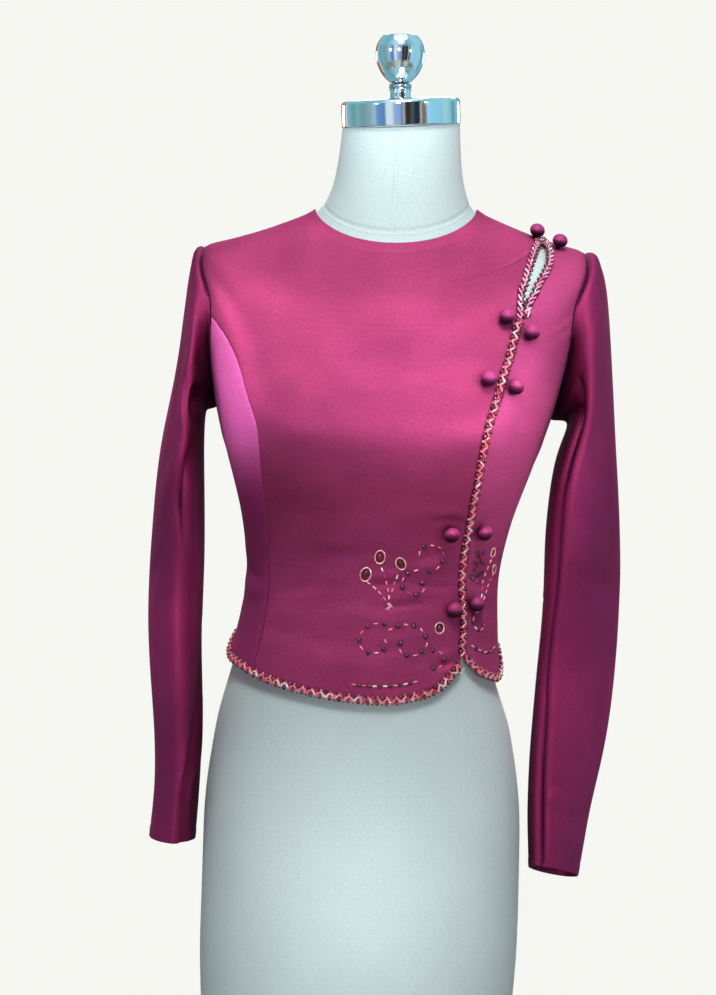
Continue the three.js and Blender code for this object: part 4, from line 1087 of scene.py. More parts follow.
def sleeve_height(along, turn, perimeter, folds, seed):
    """Height and sideways shift in mm over a sleeve. A fold: points (mm along, degrees), depth at each point,
    half widths on its two sides, lip: sideways pull of the cloth over the fold."""
    A, Tn = np.meshgrid(along, turn, indexing="ij")
    mm = perimeter / 360.0
    d, shift = np.zeros(A.shape), np.zeros(A.shape)
    for f in folds:
        pts, depth, w_minus, w_plus = f["points"], f["depth"], f["minus"], f["plus"]
        lip = f.get("lip", 0.0)
        lips = np.broadcast_to(np.asarray(lip, float), (len(pts),))
        line = np.array([(a, t * mm) for a, t in pts], float)
        dense = curve_points(np.concatenate([line, np.array(depth, float)[:, None] * 3, lips[:, None] * 3], 1), 5.0)
        for wrap in (-360, 0, 360):
            P = np.stack([A, (Tn + wrap) * mm], -1)
            lo_, hi_ = dense[:, :2].min(0) - 4 * max(w_minus, w_plus), dense[:, :2].max(0) + 4 * max(w_minus, w_plus)
            near = np.all((P > lo_) & (P < hi_), -1)
            if not near.any():
                continue
            dist, vec, seg, val = polyline_field(P[near], dense[:, :2], dense[:, 2:] / 3)
            sign = np.sign(seg[:, 0] * vec[:, 1] - seg[:, 1] * vec[:, 0])
            w = np.where(sign > 0, w_plus, w_minus)
            g = np.exp(-np.abs(dist / w) ** f.get("power", 2.0))
            d[near] += val[:, 0] * g
            shift[near] += val[:, 1] * np.exp(-((dist / (1.5 * w)) ** 2))
    return d, shift


def sleeve(name, table, side, folds, seed):
    cols, t = sleeve_frame(table, side)
    total = t[-1]
    along = np.concatenate([[-2.2, -1.0, 0, 0.25, 0.6, 1.1, 1.8], np.arange(2.7, 60, 2.1), np.arange(60, total - 3.5, 2.8), total - np.array([2.6, 1.7, 1.0, 0.5, 0.2, 0])])
    turn = np.concatenate([np.arange(0, 56, 2.8), np.arange(56, 74, 1.8), np.arange(74, 128, 1.0), np.arange(128, 164, 1.8), np.arange(164, 358.5, 2.8)])
    mid, A, Tn = sleeve_mid(table, side, along, turn)
    seg = np.linalg.norm(np.roll(mid, -1, 1) - mid, axis=2)
    per = seg.sum(1)
    d, shift = sleeve_height(along, turn, float(per.mean()), folds, seed)
    # the head's seam dips and gathers, most at the top; the cuff has a turned hem with a sewn line
    top = np.exp(-(((np.minimum(Tn, 360 - Tn)) / 62.0) ** 2))
    d -= 0.85 * np.exp(-((A / 1.5) ** 2)) + 0.3 * np.exp(-((A / 5.0) ** 2))
    gather = np.sin(Tn * RAD * 44 + 2.2 * wander(Tn, seed, 60.0)) * (0.6 + 0.4 * wander(Tn, seed + 1, 40.0))
    d += (0.50 * top + 0.12) * gather * np.exp(-(((A - 4.5) / 6.0) ** 2)) * smoothstep(0.3, 2.5, A)
    d += 1.3 * top * np.exp(-(((A - 6.0) / 4.2) ** 2))
    from_cuff = total - A
    d -= 0.32 * np.exp(-(((from_cuff - 11.0) / 0.9) ** 2))
    d += 0.22 * np.exp(-(((from_cuff - 5.5) / 4.0) ** 2))
    d += 0.10 * np.sin(Tn * RAD * 30 + 2 * wander(Tn, seed + 3, 50.0)) * np.exp(-(((from_cuff - 11.0) / 6.0) ** 2))
    # soft unevenness of hanging cloth
    d += 0.35 * wander(A + 40 * np.sin(Tn * RAD + seed), seed + 5, 130.0) * smoothstep(30, 120, A) * (0.6 + 0.4 * np.sin(2 * Tn * RAD + seed))
    n = grid_normals(mid, True) * side
    tangent = unit(np.roll(mid, -1, 1) - np.roll(mid, 1, 1))
    mid = mid + n * d[..., None] + tangent * shift[..., None]
    n = grid_normals(mid, True) * side
    r = CLOTH_WALL / 2
    e = np.minimum(A + 2.2, from_cuff)
    half = r * np.sqrt(np.clip(1 - (1 - np.minimum(e / r, 1)) ** 2, 0.006, 1))
    outer, inner = mid + n * half[..., None], mid - n * half[..., None]
    u = np.concatenate([np.zeros((len(along), 1)), np.cumsum(seg, 1)], 1)
    u = u - u[:, [0]] - 0.5 * per[:, None]
    uv = np.stack([u, np.broadcast_to(-A[:, :1], u.shape)], -1) * 0.001
    o = shell(name, outer, inner, uv, [SATIN_SLEEVE_SHADED], closed=True, flip=side < 0)
    return o, (along, turn, mid, n)


build_panels()
SLEEVES = {
    "right": sleeve("cloth_sleeve_right", SLEEVE_RIGHT, -1, SLEEVE_RIGHT_FOLDS, 71),
    "left": sleeve("cloth_sleeve_left", SLEEVE_LEFT, 1, SLEEVE_LEFT_FOLDS, 89),
}


# ------------------------------------------------------------------ beads
def ring_solid(profile, sides, axis="x"):
    """A small turned solid: (distance along the axis, radius) pairs, closed at both ends."""
    v, f = [], []
    for a, r in profile:
        for i in range(sides):
            t = 2 * math.pi * i / sides
            c, s = r * math.cos(t), r * math.sin(t)
            v.append((a, c, s) if axis == "x" else (c, s, a))
    n = len(profile)
    for j in range(n - 1):
        for i in range(sides):
            a, b = j * sides + i, j * sides + (i + 1) % sides
            f += [(a, b, b + sides), (a, b + sides, a + sides)] if axis == "z" else [(a, b + sides, b), (a, a + sides, b + sides)]
    for j, first in ((0, True), (n - 1, False)):
        k = len(v)
        a = profile[j][0]
        v.append((a, 0, 0) if axis == "x" else (0, 0, a))
        for i in range(sides):
            p, q = j * sides + i, j * sides + (i + 1) % sides
            tri = (k, q, p) if first == (axis == "z") else (k, p, q)
            f.append(tri)
    return np.array(v, float), np.array(f, int)


BUGLE = ring_solid([(-0.5, 0.62), (-0.455, 0.92), (-0.41, 1.0), (0.41, 1.0), (0.455, 0.92), (0.5, 0.62)], 8)
SEED = ring_solid([(-0.9, 0.42), (-0.6, 0.82), (0, 1.0), (0.6, 0.82), (0.9, 0.42)], 8)
CRYSTAL = ring_solid([(0, 0.94), (0.28, 1.0), (0.62, 0.74), (0.86, 0.44)], 8, "z")
CRYSTAL[0][:, 2] += 0.0


class BeadWork:
    def __init__(self, seed):
        self.v, self.f, self.t, self.m, self.n = [], [], [], [], 0
        self.rng = np.random.default_rng(seed)

    def add(self, shape, at, axes, scale, tint, material, flat=False):
        v = shape[0] * np.asarray(scale, float)
        v = np.asarray(at) + v @ np.asarray(axes)
        self.v.append(v)
        self.f.append(shape[1] + self.n)
        self.t.append(np.tile(np.asarray(tint, float), (len(v), 1)))
        self.m.append(np.full(len(shape[1]), material))
        self.n += len(v)

    def tube(self, line, normals, radius, tint, sides=6):
        line = np.asarray(line, float)
        t = unit(np.gradient(line, axis=0))
        b = unit(np.cross(normals, t))
        ang = np.arange(sides) * 2 * math.pi / sides
        ring = line[:, None] + radius * (np.cos(ang)[None, :, None] * b[:, None] + np.sin(ang)[None, :, None] * normals[:, None])
        n, k = len(line), sides
        faces = []
        j, i = np.meshgrid(np.arange(n - 1), np.arange(k), indexing="ij")
        j, i = j.ravel(), i.ravel()
        i2 = (i + 1) % k
        a, b_, c, d = j * k + i, j * k + i2, (j + 1) * k + i2, (j + 1) * k + i
        faces = np.concatenate([np.stack([a, c, b_], 1), np.stack([a, d, c], 1)])
        ends = [(0, x, (x + 1) % k) for x in range(1, k - 1)] + [((n - 1) * k, (n - 1) * k + (x + 1) % k, (n - 1) * k + x) for x in range(1, k - 1)]
        faces = np.concatenate([faces, np.array(ends)])
        v = ring.reshape(-1, 3)
        self.v.append(v)
        self.f.append(faces + self.n)
        self.t.append(np.tile(np.asarray(tint, float), (len(v), 1)))
        self.m.append(np.full(len(faces), 2))
        self.n += len(v)

    def pick(self, palette):
        weights = np.array([p[0] for p in palette], float)
        c = np.array(palette[self.rng.choice(len(palette), p=weights / weights.sum())][1])
        return np.clip(c * self.rng.uniform(0.86, 1.12), 0, 1)

    def build(self, name, smooth=True):
        return make_mesh(name, np.concatenate(self.v), [np.concatenate(self.f)], [BEAD_METAL, BEAD_GLASS, THREAD],
                         tint=np.concatenate(self.t), face_mat=np.concatenate(self.m), smooth=smooth)


PINKS = [(4, (0.86, 0.17, 0.26)), (3, (0.93, 0.30, 0.38)), (2, (0.98, 0.60, 0.64)), (1.4, (0.55, 0.03, 0.09)), (1.2, (0.88, 0.26, 0.20))]
PALES = [(4, (0.90, 0.24, 0.44)), (3, (0.95, 0.44, 0.60)), (1.6, (1.0, 0.76, 0.84)), (1.2, (0.70, 0.08, 0.22))]
REDS = [(4, (0.20, 0.004, 0.026)), (2, (0.34, 0.010, 0.040)), (2, (0.10, 0.002, 0.024))]
ROSE = [(4, (0.93, 0.22, 0.34)), (3, (0.95, 0.34, 0.46)), (1, (0.99, 0.66, 0.72)), (1.4, (0.66, 0.07, 0.16))]
DARKS = [(4, (0.110, 0.001, 0.020)), (2, (0.19, 0.003, 0.030)), (1, (0.36, 0.010, 0.040))]
GOLDS = [(3, (0.92, 0.42, 0.36)), (2, (0.95, 0.56, 0.50)), (1, (0.80, 0.26, 0.26))]


def walk(path, folds, lift):
    """A path of (phi, level) pairs as points on the cloth's outside, with its frame."""
    path = np.asarray(path, float)
    base = cloth(path[:, 0], path[:, 1], CLOTH_WALL)
    n = normal(path[:, 0], path[:, 1])
    even = chest_even(path[:, 0], path[:, 1]) if abs(path[:, 0]).max() < 100 else 0.0
    return base + n * (folds_on(base, folds) + even + lift)[:, None], n


def spaced_frames(path, folds, lift, step, start=0.0, jitter=None):
    """Points every `step` mm along a (phi, level) path with axes (along, across, up)."""
    dense = curve_points(np.asarray(path, float), 0.6) if len(path) < 60 else np.asarray(path, float)
    p, n = walk(dense, folds, lift)
    d = np.concatenate([[0], np.cumsum(np.linalg.norm(np.diff(p, axis=0), axis=1))])
    at = np.arange(start, d[-1] + 1e-6, step)
    q = np.stack([np.interp(at, d, p[:, k]) for k in range(3)], 1)
    m = unit(np.stack([np.interp(at, d, n[:, k]) for k in range(3)], 1))
    e = 0.8
    t = unit(np.stack([np.interp(at + e, d, p[:, k]) - np.interp(at - e, d, p[:, k]) for k in range(3)], 1))
    t = unit(t - (t * m).sum(1, keepdims=True) * m)
    return q, t, np.cross(m, t), m, d[-1]


def braid(name, pieces, folds, seed):
    """A rope of slanted bugles with dark crystals in the notches. pieces: (path, kind, outside, pitch)."""
    w = BeadWork(seed)

    def rod(P, N, ax, length, radius, palette):
        ax = ax / np.linalg.norm(ax)
        up = N - ax * (N @ ax)
        up = up / np.linalg.norm(up)
        w.add(BUGLE, P, [ax, np.cross(up, ax), up], (length, radius, radius), w.pick(palette), 0)

    for path, kind, outside, pitch in pieces:
        q, t, b, n, total = spaced_frames(path, folds, 0.0, 1.2)
        w.tube(q + n * 0.45, n, 1.0, (1, 1, 1))
        if kind == "keyhole":
            for across in (-1.3, 1.5, 3.0):
                w.tube(q + b * outside * across + n * 0.4, n, 0.95, (1, 1, 1))
        elif kind == "heap":
            for across in (-1.8, 1.8):
                w.tube(q + b * across + n * 0.5, n, 1.1, (1, 1, 1))
        half = pitch / 2
        q, t, b, n, _ = spaced_frames(path, folds, 0.0, half, 0.35)
        for i, (P, T, B, N) in enumerate(zip(q, t, b, n)):
            side = 1.0 if i % 2 else -1.0
            wob = w.rng.normal(0, 0.07)
            if kind == "zigzag":
                slant = math.radians(43 + w.rng.normal(0, 4)) * side
                ax = T * math.cos(slant) + B * math.sin(slant) + N * wob
                rod(P + N * (1.85 + 0.25 * side), N, ax, 6.4 * w.rng.uniform(0.94, 1.05), 0.98, PINKS)
                rod(P + T * 1.5 - B * 1.5 * side + N * 1.15, N, T * math.cos(slant * 0.55) + B * math.sin(slant * 0.55), 4.2, 0.76, PINKS if i % 3 else REDS)
                notch = P + T * half * 0.5
                w.add(SEED, notch - B * side * 2.6 + N * 1.45, [T, B, N], np.array([1.95, 1.8, 1.65]) * w.rng.uniform(0.92, 1.08), w.pick(REDS), 1)
                w.add(SEED, notch + B * side * 3.3 + N * 0.95, [T, B, N], np.array([1.05, 1.05, 1.0]) * w.rng.uniform(0.85, 1.1), w.pick(PINKS if i % 2 else REDS), 1)
                if i % 2:
                    w.add(SEED, notch + N * 2.6 + B * w.rng.normal(0, 0.25), [T, B, N], np.array([1.15, 1.15, 1.0]), w.pick(REDS), 1)
            elif kind == "heap":
                # the loop of beads that joins the two sides at the keyhole's top
                for k in range(3):
                    turn = w.rng.uniform(-1.2, 1.2)
                    ax = T * math.cos(turn) + B * math.sin(turn)
                    rod(P + B * w.rng.uniform(-2.4, 2.4) + N * w.rng.uniform(0.6, 2.2), N, ax, 4.6, 0.85, PALES if k else PINKS)
                w.add(SEED, P + B * w.rng.uniform(-2.6, 2.6) + N * w.rng.uniform(1.0, 2.4), [T, B, N], np.array([1.8, 1.7, 1.6]), w.pick(REDS), 1)
                w.add(SEED, P + B * w.rng.uniform(-3.2, 3.2) + N * w.rng.uniform(0.6, 1.8), [T, B, N], np.array([1.5, 1.4, 1.3]), w.pick(REDS), 1)
            else:
                # round the keyhole: paired bugles slant to the outside, dark beads line the gap
                if i % 2 == 0:
                    slant = math.radians(38 + w.rng.normal(0, 4)) * outside
                    ax = T * math.cos(slant) + B * math.sin(slant) + N * wob
                    rod(P + B * outside * 1.1 + N * 1.6, N, ax, 6.4 * w.rng.uniform(0.94, 1.05), 0.98, PALES)
                    rod(P + T * 2.3 + B * outside * 1.9 + N * 1.3, N, ax, 5.0 * w.rng.uniform(0.94, 1.05), 0.80, PALES if i % 3 else PINKS)
                    rod(P + T * 2.4 - B * outside * 0.9 + N * 1.5, N, T * 0.9 - B * outside * 0.75, 3.8, 0.74, PALES)
                else:
                    w.add(SEED, P - B * outside * 2.3 + N * 1.2, [T, B, N], np.array([1.95, 1.85, 1.65]) * w.rng.uniform(0.92, 1.06), w.pick(REDS), 1)
                    w.add(SEED, P + B * outside * 2.9 + N * 0.9, [T, B, N], np.array([1.2, 1.2, 1.1]) * w.rng.uniform(0.9, 1.1), w.pick(REDS), 1)
                    w.add(SEED, P - B * outside * 0.2 + N * 2.0, [T, B, N], np.array([1.1, 1.1, 1.0]), w.pick(PALES), 1)
    return w.build(name)


def opening_path():
    return [(float(opening(x)), float(x)) for x in np.arange(362.5, 703, 1.5)]


def keyhole_inner_path():
    return [(float(key_inner(x)) + 0.7, float(x)) for x in np.concatenate([np.arange(705, 724, 1.5), np.arange(724, 740, 0.5), np.arange(740, 740.5, 0.1), np.arange(740.5, 740.96, 0.05)])]


def keyhole_path():
    return [(float(key_outer(x)) - 1.5 * float(smoothstep(709, 716, x)), float(x)) for x in np.concatenate([np.arange(709, 724, 1.5), np.arange(724, 738, 0.4), np.arange(738, 740.1, 0.2)])]


def keyhole_top():
    """Over the keyhole's top: up the inner edge, across, and down the outer edge."""
    return [(70.5, 740.75), (75.5, 740.85), (80.5, 741.0), (84.0, 740.95), (81.5, 740.0), (77.0, 739.1), (73.0, 738.2)]


def hem_path(a, b):
    phi = np.linspace(a, b, int(abs(b - a) * 2.0) + 2)
    return [(float(p), float(hem_at(p)) + 0.6) for p in phi]


TRIMS = {
    "trim_opening": braid("beads_opening", [(opening_path(), "zigzag", 1.0, 8.6), (keyhole_inner_path(), "keyhole", 1.0, 6.6)], FRONT_FOLDS, 201),
    "trim_keyhole": braid("beads_keyhole", [(keyhole_path(), "keyhole", -1.0, 6.6), (keyhole_top(), "heap", 1.0, 4.4)], LEFT_FOLDS, 202),
    "trim_hem_front": braid("beads_hem_front", [(hem_path(-89.2, 41.4), "zigzag", 1.0, 8.4)], FRONT_FOLDS + SIDE_FOLDS, 203),
    "trim_hem_left": braid("beads_hem_left", [(hem_path(44.6, 89.2), "zigzag", 1.0, 8.4)], LEFT_FOLDS, 204),
    "trim_hem_back": braid("beads_hem_back", [(hem_path(91.0, 269.0), "zigzag", 1.0, 8.4)], BACK_FOLDS, 205),
}

# ------------------------------------------------------------------ bead embroidery: curls, stems and ovals set out by formula
def curl(phi, level, wide, narrow, a, b, n=13):
    """A spiral about (phi, level): radii in mm, turning from angle a to angle b."""
    t = np.linspace(0, 1, n)
    r, turn = wide + (narrow - wide) * t, np.radians(a + (b - a) * t)
    return [(float(p), float(q)) for p, q in zip(phi + r * np.cos(turn) / 1.72, level + r * np.sin(turn))]


def stem(foot, length, lean, bend, n=7):
    """A bowed stem from its foot: length in mm, lean from upright and bend in degrees."""
    t = np.linspace(0, 1, n)
    turn = np.radians(90 - lean - bend * (t - 0.5))
    step = length / (n - 1)
    return [(float(foot[0] + step * np.cos(turn[:m]).sum() / 1.72), float(foot[1] + step * np.sin(turn[:m]).sum())) for m in range(n)]


KNOT = (8.0, 404.0)
FAN = [stem(KNOT, length, lean, bend) for length, lean, bend in ((30, -44, -30), (40, -16, -22), (34, 12, 18))]
FLAP_STEMS = [stem((55.0, 414.0), 38, 16, 20), stem((57.0, 412.0), 28, 36, 24)]
SCROLLS = [  # bugle beads and dark crystals in turn
    curl(23.0, 452.0, 15.0, 5.0, -80, 220),
    curl(19.5, 424.0, 14.0, 4.5, 95, 395),
    curl(4.0, 372.0, 17.0, 5.0, 75, 400),
    curl(17.5, 371.0, 19.0, 6.0, 140, -190),
    curl(29.0, 356.0, 10.0, 4.0, 100, -160),
    [(p, 333.4 + 0.016 * (p - 4) ** 2) for p in np.linspace(-4, 23, 9)],
    curl(54.5, 391.0, 11.0, 4.0, 80, 380),
    [(p, 364.0 + 0.05 * (p - 60) ** 2) for p in np.linspace(49, 69, 7)],
]
STEMS = FAN + FLAP_STEMS  # bugle beads only
OVALS = [(line[-1][0], line[-1][1] + 6.0, 4.8 - 0.3 * m, 6.3 - 0.3 * m, (14, 4, -30)[m]) for m, line in enumerate(FAN)] + [
    (line[-1][0], line[-1][1] + 5.0, 3.4, 4.4, -12) for line in FLAP_STEMS] + [(31.0, 386.0, 4.4, 5.0, 20)]
CRYSTALS = [(50.5 + 1.15 * math.sqrt(m) * math.cos(2.4 * m), 441.0 + 4.6 * math.sqrt(m) * math.sin(2.4 * m)) for m in range(1, 15)]


def embroidery(name, panel_side, folds, seed):
    w = BeadWork(seed)
    mine = lambda phi: (phi < 40) == (panel_side == "main")

    def crystal(P, T, B, N, size):
        a = w.rng.uniform(0, 6.28)
        X, Y = T * math.cos(a) + B * math.sin(a), -T * math.sin(a) + B * math.cos(a)
        w.add(CRYSTAL, P + N * 0.12, [X, Y, N], (size * 1.16, size * 0.86, size * 0.84), w.pick(DARKS), 1)
        for k in range(4):
            ang = a + 1.3 * k + w.rng.uniform(0, 0.9)
            c = P + (T * math.cos(ang) + B * math.sin(ang)) * size * w.rng.uniform(0.80, 1.02) + N * 0.5
            w.add(SEED, c, [T, B, N], np.array([0.78, 0.72, 0.66]) * w.rng.uniform(0.85, 1.15), w.pick(DARKS if k % 3 else REDS), 1)

    for k, line in enumerate(SCROLLS):
        if not mine(line[0][0]):
            continue
        q, t, b, n, total = spaced_frames(line, folds, 0.0, 7.4 if k < 5 else 4.6, 0.6)
        for i, (P, T, B, N) in enumerate(zip(q, t, b, n)):
            if i % 2 == (k % 2):
                crystal(P, T, B, N, (2.25 if k < 5 else 1.8) * w.rng.uniform(0.88, 1.12))
            else:
                yaw = w.rng.normal(0, 0.10)
                X = T * math.cos(yaw) + B * math.sin(yaw)
                w.add(BUGLE, P + N * 0.85, [X, np.cross(N, X), N], (3.9, 0.82, 0.82), w.pick(ROSE), 0)
    for line in STEMS:
        if not mine(line[0][0]):
            continue
        q, t, b, n, total = spaced_frames(line, folds, 0.0, 6.6, 1.5)
        for P, T, B, N in zip(q, t, b, n):
            w.add(BUGLE, P + N * 0.78, [T, B, N], (3.7, 0.76, 0.76), w.pick(ROSE), 0)
    for phi, s, ra, rb, turn in OVALS:
        if not mine(phi):
            continue
        (P,), (N,) = walk([(phi, s)], folds, 0.0)
        up = np.array([0, 0, 1.0]) - N * N[2]
        up /= np.linalg.norm(up)
        side = np.cross(up, N)
        c, sn = math.cos(math.radians(turn)), math.sin(math.radians(turn))
        U, V = side * c - up * sn, side * sn + up * c
        count = 15
        for k in range(count):
            a0, a1 = 2 * math.pi * k / count, 2 * math.pi * (k + 1) / count
            p0 = P + U * ra * math.cos(a0) + V * rb * math.sin(a0)
            p1 = P + U * ra * math.cos(a1) + V * rb * math.sin(a1)
            ax = p1 - p0
            ln = np.linalg.norm(ax)
            ax = ax / ln
            w.add(BUGLE, (p0 + p1) / 2 + N * 0.62, [ax, np.cross(N, ax), N], (ln * 1.02, 0.66, 0.66), w.pick(GOLDS), 0)
        w.add(CRYSTAL, P + N * 0.1, [U, V, N], (ra * 0.55, rb * 0.58, 1.9), w.pick(DARKS), 1)
        for k in range(8):
            a = 2 * math.pi * k / 8
            w.add(SEED, P + U * ra * 0.70 * math.cos(a) + V * rb * 0.72 * math.sin(a) + N * 0.4, [U, V, N], (0.42, 0.42, 0.42), w.pick(DARKS), 1)
    for phi, s in CRYSTALS:
        if not mine(phi):
            continue
        (P,), (N,) = walk([(phi, s)], folds, 0.0)
        up = np.array([0, 0, 1.0]) - N * N[2]
        up /= np.linalg.norm(up)
        crystal(P, up, np.cross(N, up), N, 1.6 * w.rng.uniform(0.85, 1.15))
    if panel_side == "main":
        (P,), (N,) = walk([KNOT], folds, 0.0)
        up = np.array([0, 0, 1.0]) - N * N[2]
        up /= np.linalg.norm(up)
        side = np.cross(up, N)
        for k in range(7):
            a = math.radians(-50 + 26 * k)
            ax = up * math.cos(a) * -1 + side * math.sin(a)
            ax = ax - N * (ax @ N)
            ax /= np.linalg.norm(ax)
            w.add(BUGLE, P + ax * 1.2 + up * (k % 3 - 1) * 1.3 + side * ((k * 5) % 3 - 1) * 1.3 + N * (0.6 + 0.15 * (k % 2)), [ax, np.cross(N, ax), N], (2.4, 0.5, 0.5), w.pick(GOLDS), 0)
    return w.build(name)


EMBROIDERY = {
    "main": embroidery("embroidery_main", "main", FRONT_FOLDS, 301),
    "left": embroidery("embroidery_left", "left", LEFT_FOLDS, 302),
}


# ------------------------------------------------------------------ sewn stitches
def stitches(name, lines, length, gap, radius, material, sink):
    """Short rounded stitches along lines of (point, normal) pairs."""
    w = BeadWork(7)
    rod = ring_solid([(-0.5, 0.35), (-0.44, 0.85), (-0.2, 1.0), (0.2, 1.0), (0.44, 0.85), (0.5, 0.35)], 6)
    for p, n in lines:
        d = np.concatenate([[0], np.cumsum(np.linalg.norm(np.diff(p, axis=0), axis=1))])
        for a in np.arange(length / 2 + 0.5, d[-1] - length / 2, length + gap):
            P = np.array([np.interp(a, d, p[:, k]) for k in range(3)])
            Q = np.array([np.interp(a + 0.7, d, p[:, k]) for k in range(3)])
            N = np.array([np.interp(a, d, n[:, k]) for k in range(3)])
            N /= np.linalg.norm(N)
            T = Q - P
            T = T - N * (T @ N)
            T /= max(np.linalg.norm(T), 1e-9)
            w.add(rod, P - N * sink, [T, np.cross(N, T), N], (length, radius, radius), (1, 1, 1), 0)
    me = make_mesh(name, np.concatenate(w.v), [np.concatenate(w.f)], [material])
    return me


def seam_line(edge, a, b):
    s = np.arange(a, b, 1.0)
    phi = np.array([float(edge(x)) for x in s])
    lo_rows = s < WAIST
    level = s.copy()
    f = (s - 345) / (WAIST - 345)
    level[lo_rows] = lerp(hem_at(phi[lo_rows]), WAIST, np.clip(f[lo_rows], 0, 1))
    return cloth(phi, level, CLOTH_WALL), normal(phi, level)


STITCHES = stitches("stitches_princess", [seam_line(princess, 350, 671)], 2.3, 1.1, 0.17, THREAD, 0.72)


def armhole_seams():
    """The sunk line where each sleeve head meets the bodice, with a dark tube laid in it as painted shade for the
    groove.
    """
    w = BeadWork(9)
    for side in (-1, 1):
        t = np.linspace(0, 2 * math.pi, 260)
        deg = np.degrees(t)
        si = np.sin(t)
        bite = np.where(si >= 0, np.maximum(0, bite_front(np.minimum(deg, 360 - deg)) - 0.45 * np.abs(si) ** 0.4), -np.maximum(0, ARMHOLE_BACK * np.abs(si) ** 0.8 - 0.45 * np.abs(si) ** 0.4))
        phi, s = side * (90 - bite), ARMHOLE_MID + (ARMHOLE_HALF - 0.5) * np.cos(t)
        w.tube(cloth(phi, s, CLOTH_WALL * 0.55), normal(phi, s), 0.62, (1, 1, 1))
    return w.build("seam_armholes")


ARMHOLES = armhole_seams()


# ------------------------------------------------------------------ covered ball buttons
def ball_button(name, phi, level, seed):
    rng = np.random.default_rng(seed)
    P = cloth(phi, level, CLOTH_WALL + 0.15 + float(chest_even(phi, level)))
    N = normal(phi, level)
    up = np.array([0, 0, 1.0]) - N * N[2]
    up /= np.linalg.norm(up)
    # the ball droops a little on its shank
    lean = 0.10 + rng.uniform(0, 0.05)
    axis = N - up * lean
    axis /= np.linalg.norm(axis)
    X = np.cross(up, axis)
    X /= np.linalg.norm(X)
    Y = np.cross(axis, X)
    th = np.linspace(0, 1, 34)
    prof = []
    for v in th:
        if v < 0.80:
            a = v / 0.80 * math.radians(152)
            prof.append((BUTTON_RADIUS * math.sin(a) * (1 - 0.02 * math.sin(a)), 7.6 + 6.1 * math.cos(a)))
        else:
            u = (v - 0.80) / 0.20
            r0, z0 = BUTTON_RADIUS * math.sin(math.radians(152)), 7.6 + 6.1 * math.cos(math.radians(152))
            prof.append((lerp(r0, 2.1, min(1, u * 1.8)), lerp(z0, 0.0, u)))
    around = 56
    t = np.arange(around) * 2 * math.pi / around
    rows = []
    pleats = rng.integers(10, 13)
    offset = rng.uniform(0, 6.28)
    for v, (r, z) in zip(th, prof):
        depth = 0.55 * smoothstep(0.50, 0.80, v) + 0.06 * smoothstep(0.2, 0.5, v)
        wob = 1 - depth / BUTTON_RADIUS * (0.5 + 0.5 * np.cos(t * pleats + offset + 0.5 * np.sin(2 * t))) + 0.006 * np.sin(2 * t + offset)
        rr = max(r, 0.02) * wob
        rows.append(P + X * (rr * np.cos(t))[:, None] + Y * (rr * np.sin(t))[:, None] + axis * z)
    rows = np.array(rows)[::-1]
    nr, nc = rows.shape[:2]
    j, i = np.meshgrid(np.arange(nr - 1), np.arange(nc), indexing="ij")
    j, i = j.ravel(), i.ravel()
    i2 = (i + 1) % nc
    quads = np.stack([j * nc + i, j * nc + i2, (j + 1) * nc + i2, (j + 1) * nc + i], 1)
    top = (nr - 1) * nc
    caps = [(top + k, top + (k + 1) % nc, nr * nc) for k in range(nc)] + [((k + 1) % nc, k, nr * nc + 1) for k in range(nc)]
    verts = np.concatenate([rows.reshape(-1, 3), [rows[-1].mean(0)], [rows[0].mean(0)]])
    return make_mesh(name, verts, [quads, np.array(caps)], [SATIN_BALL])


BUTTON_OBJECTS = {n: ball_button("ball_" + n, v[0], v[1], 400 + i) for i, (n, v) in enumerate(BUTTONS.items())}


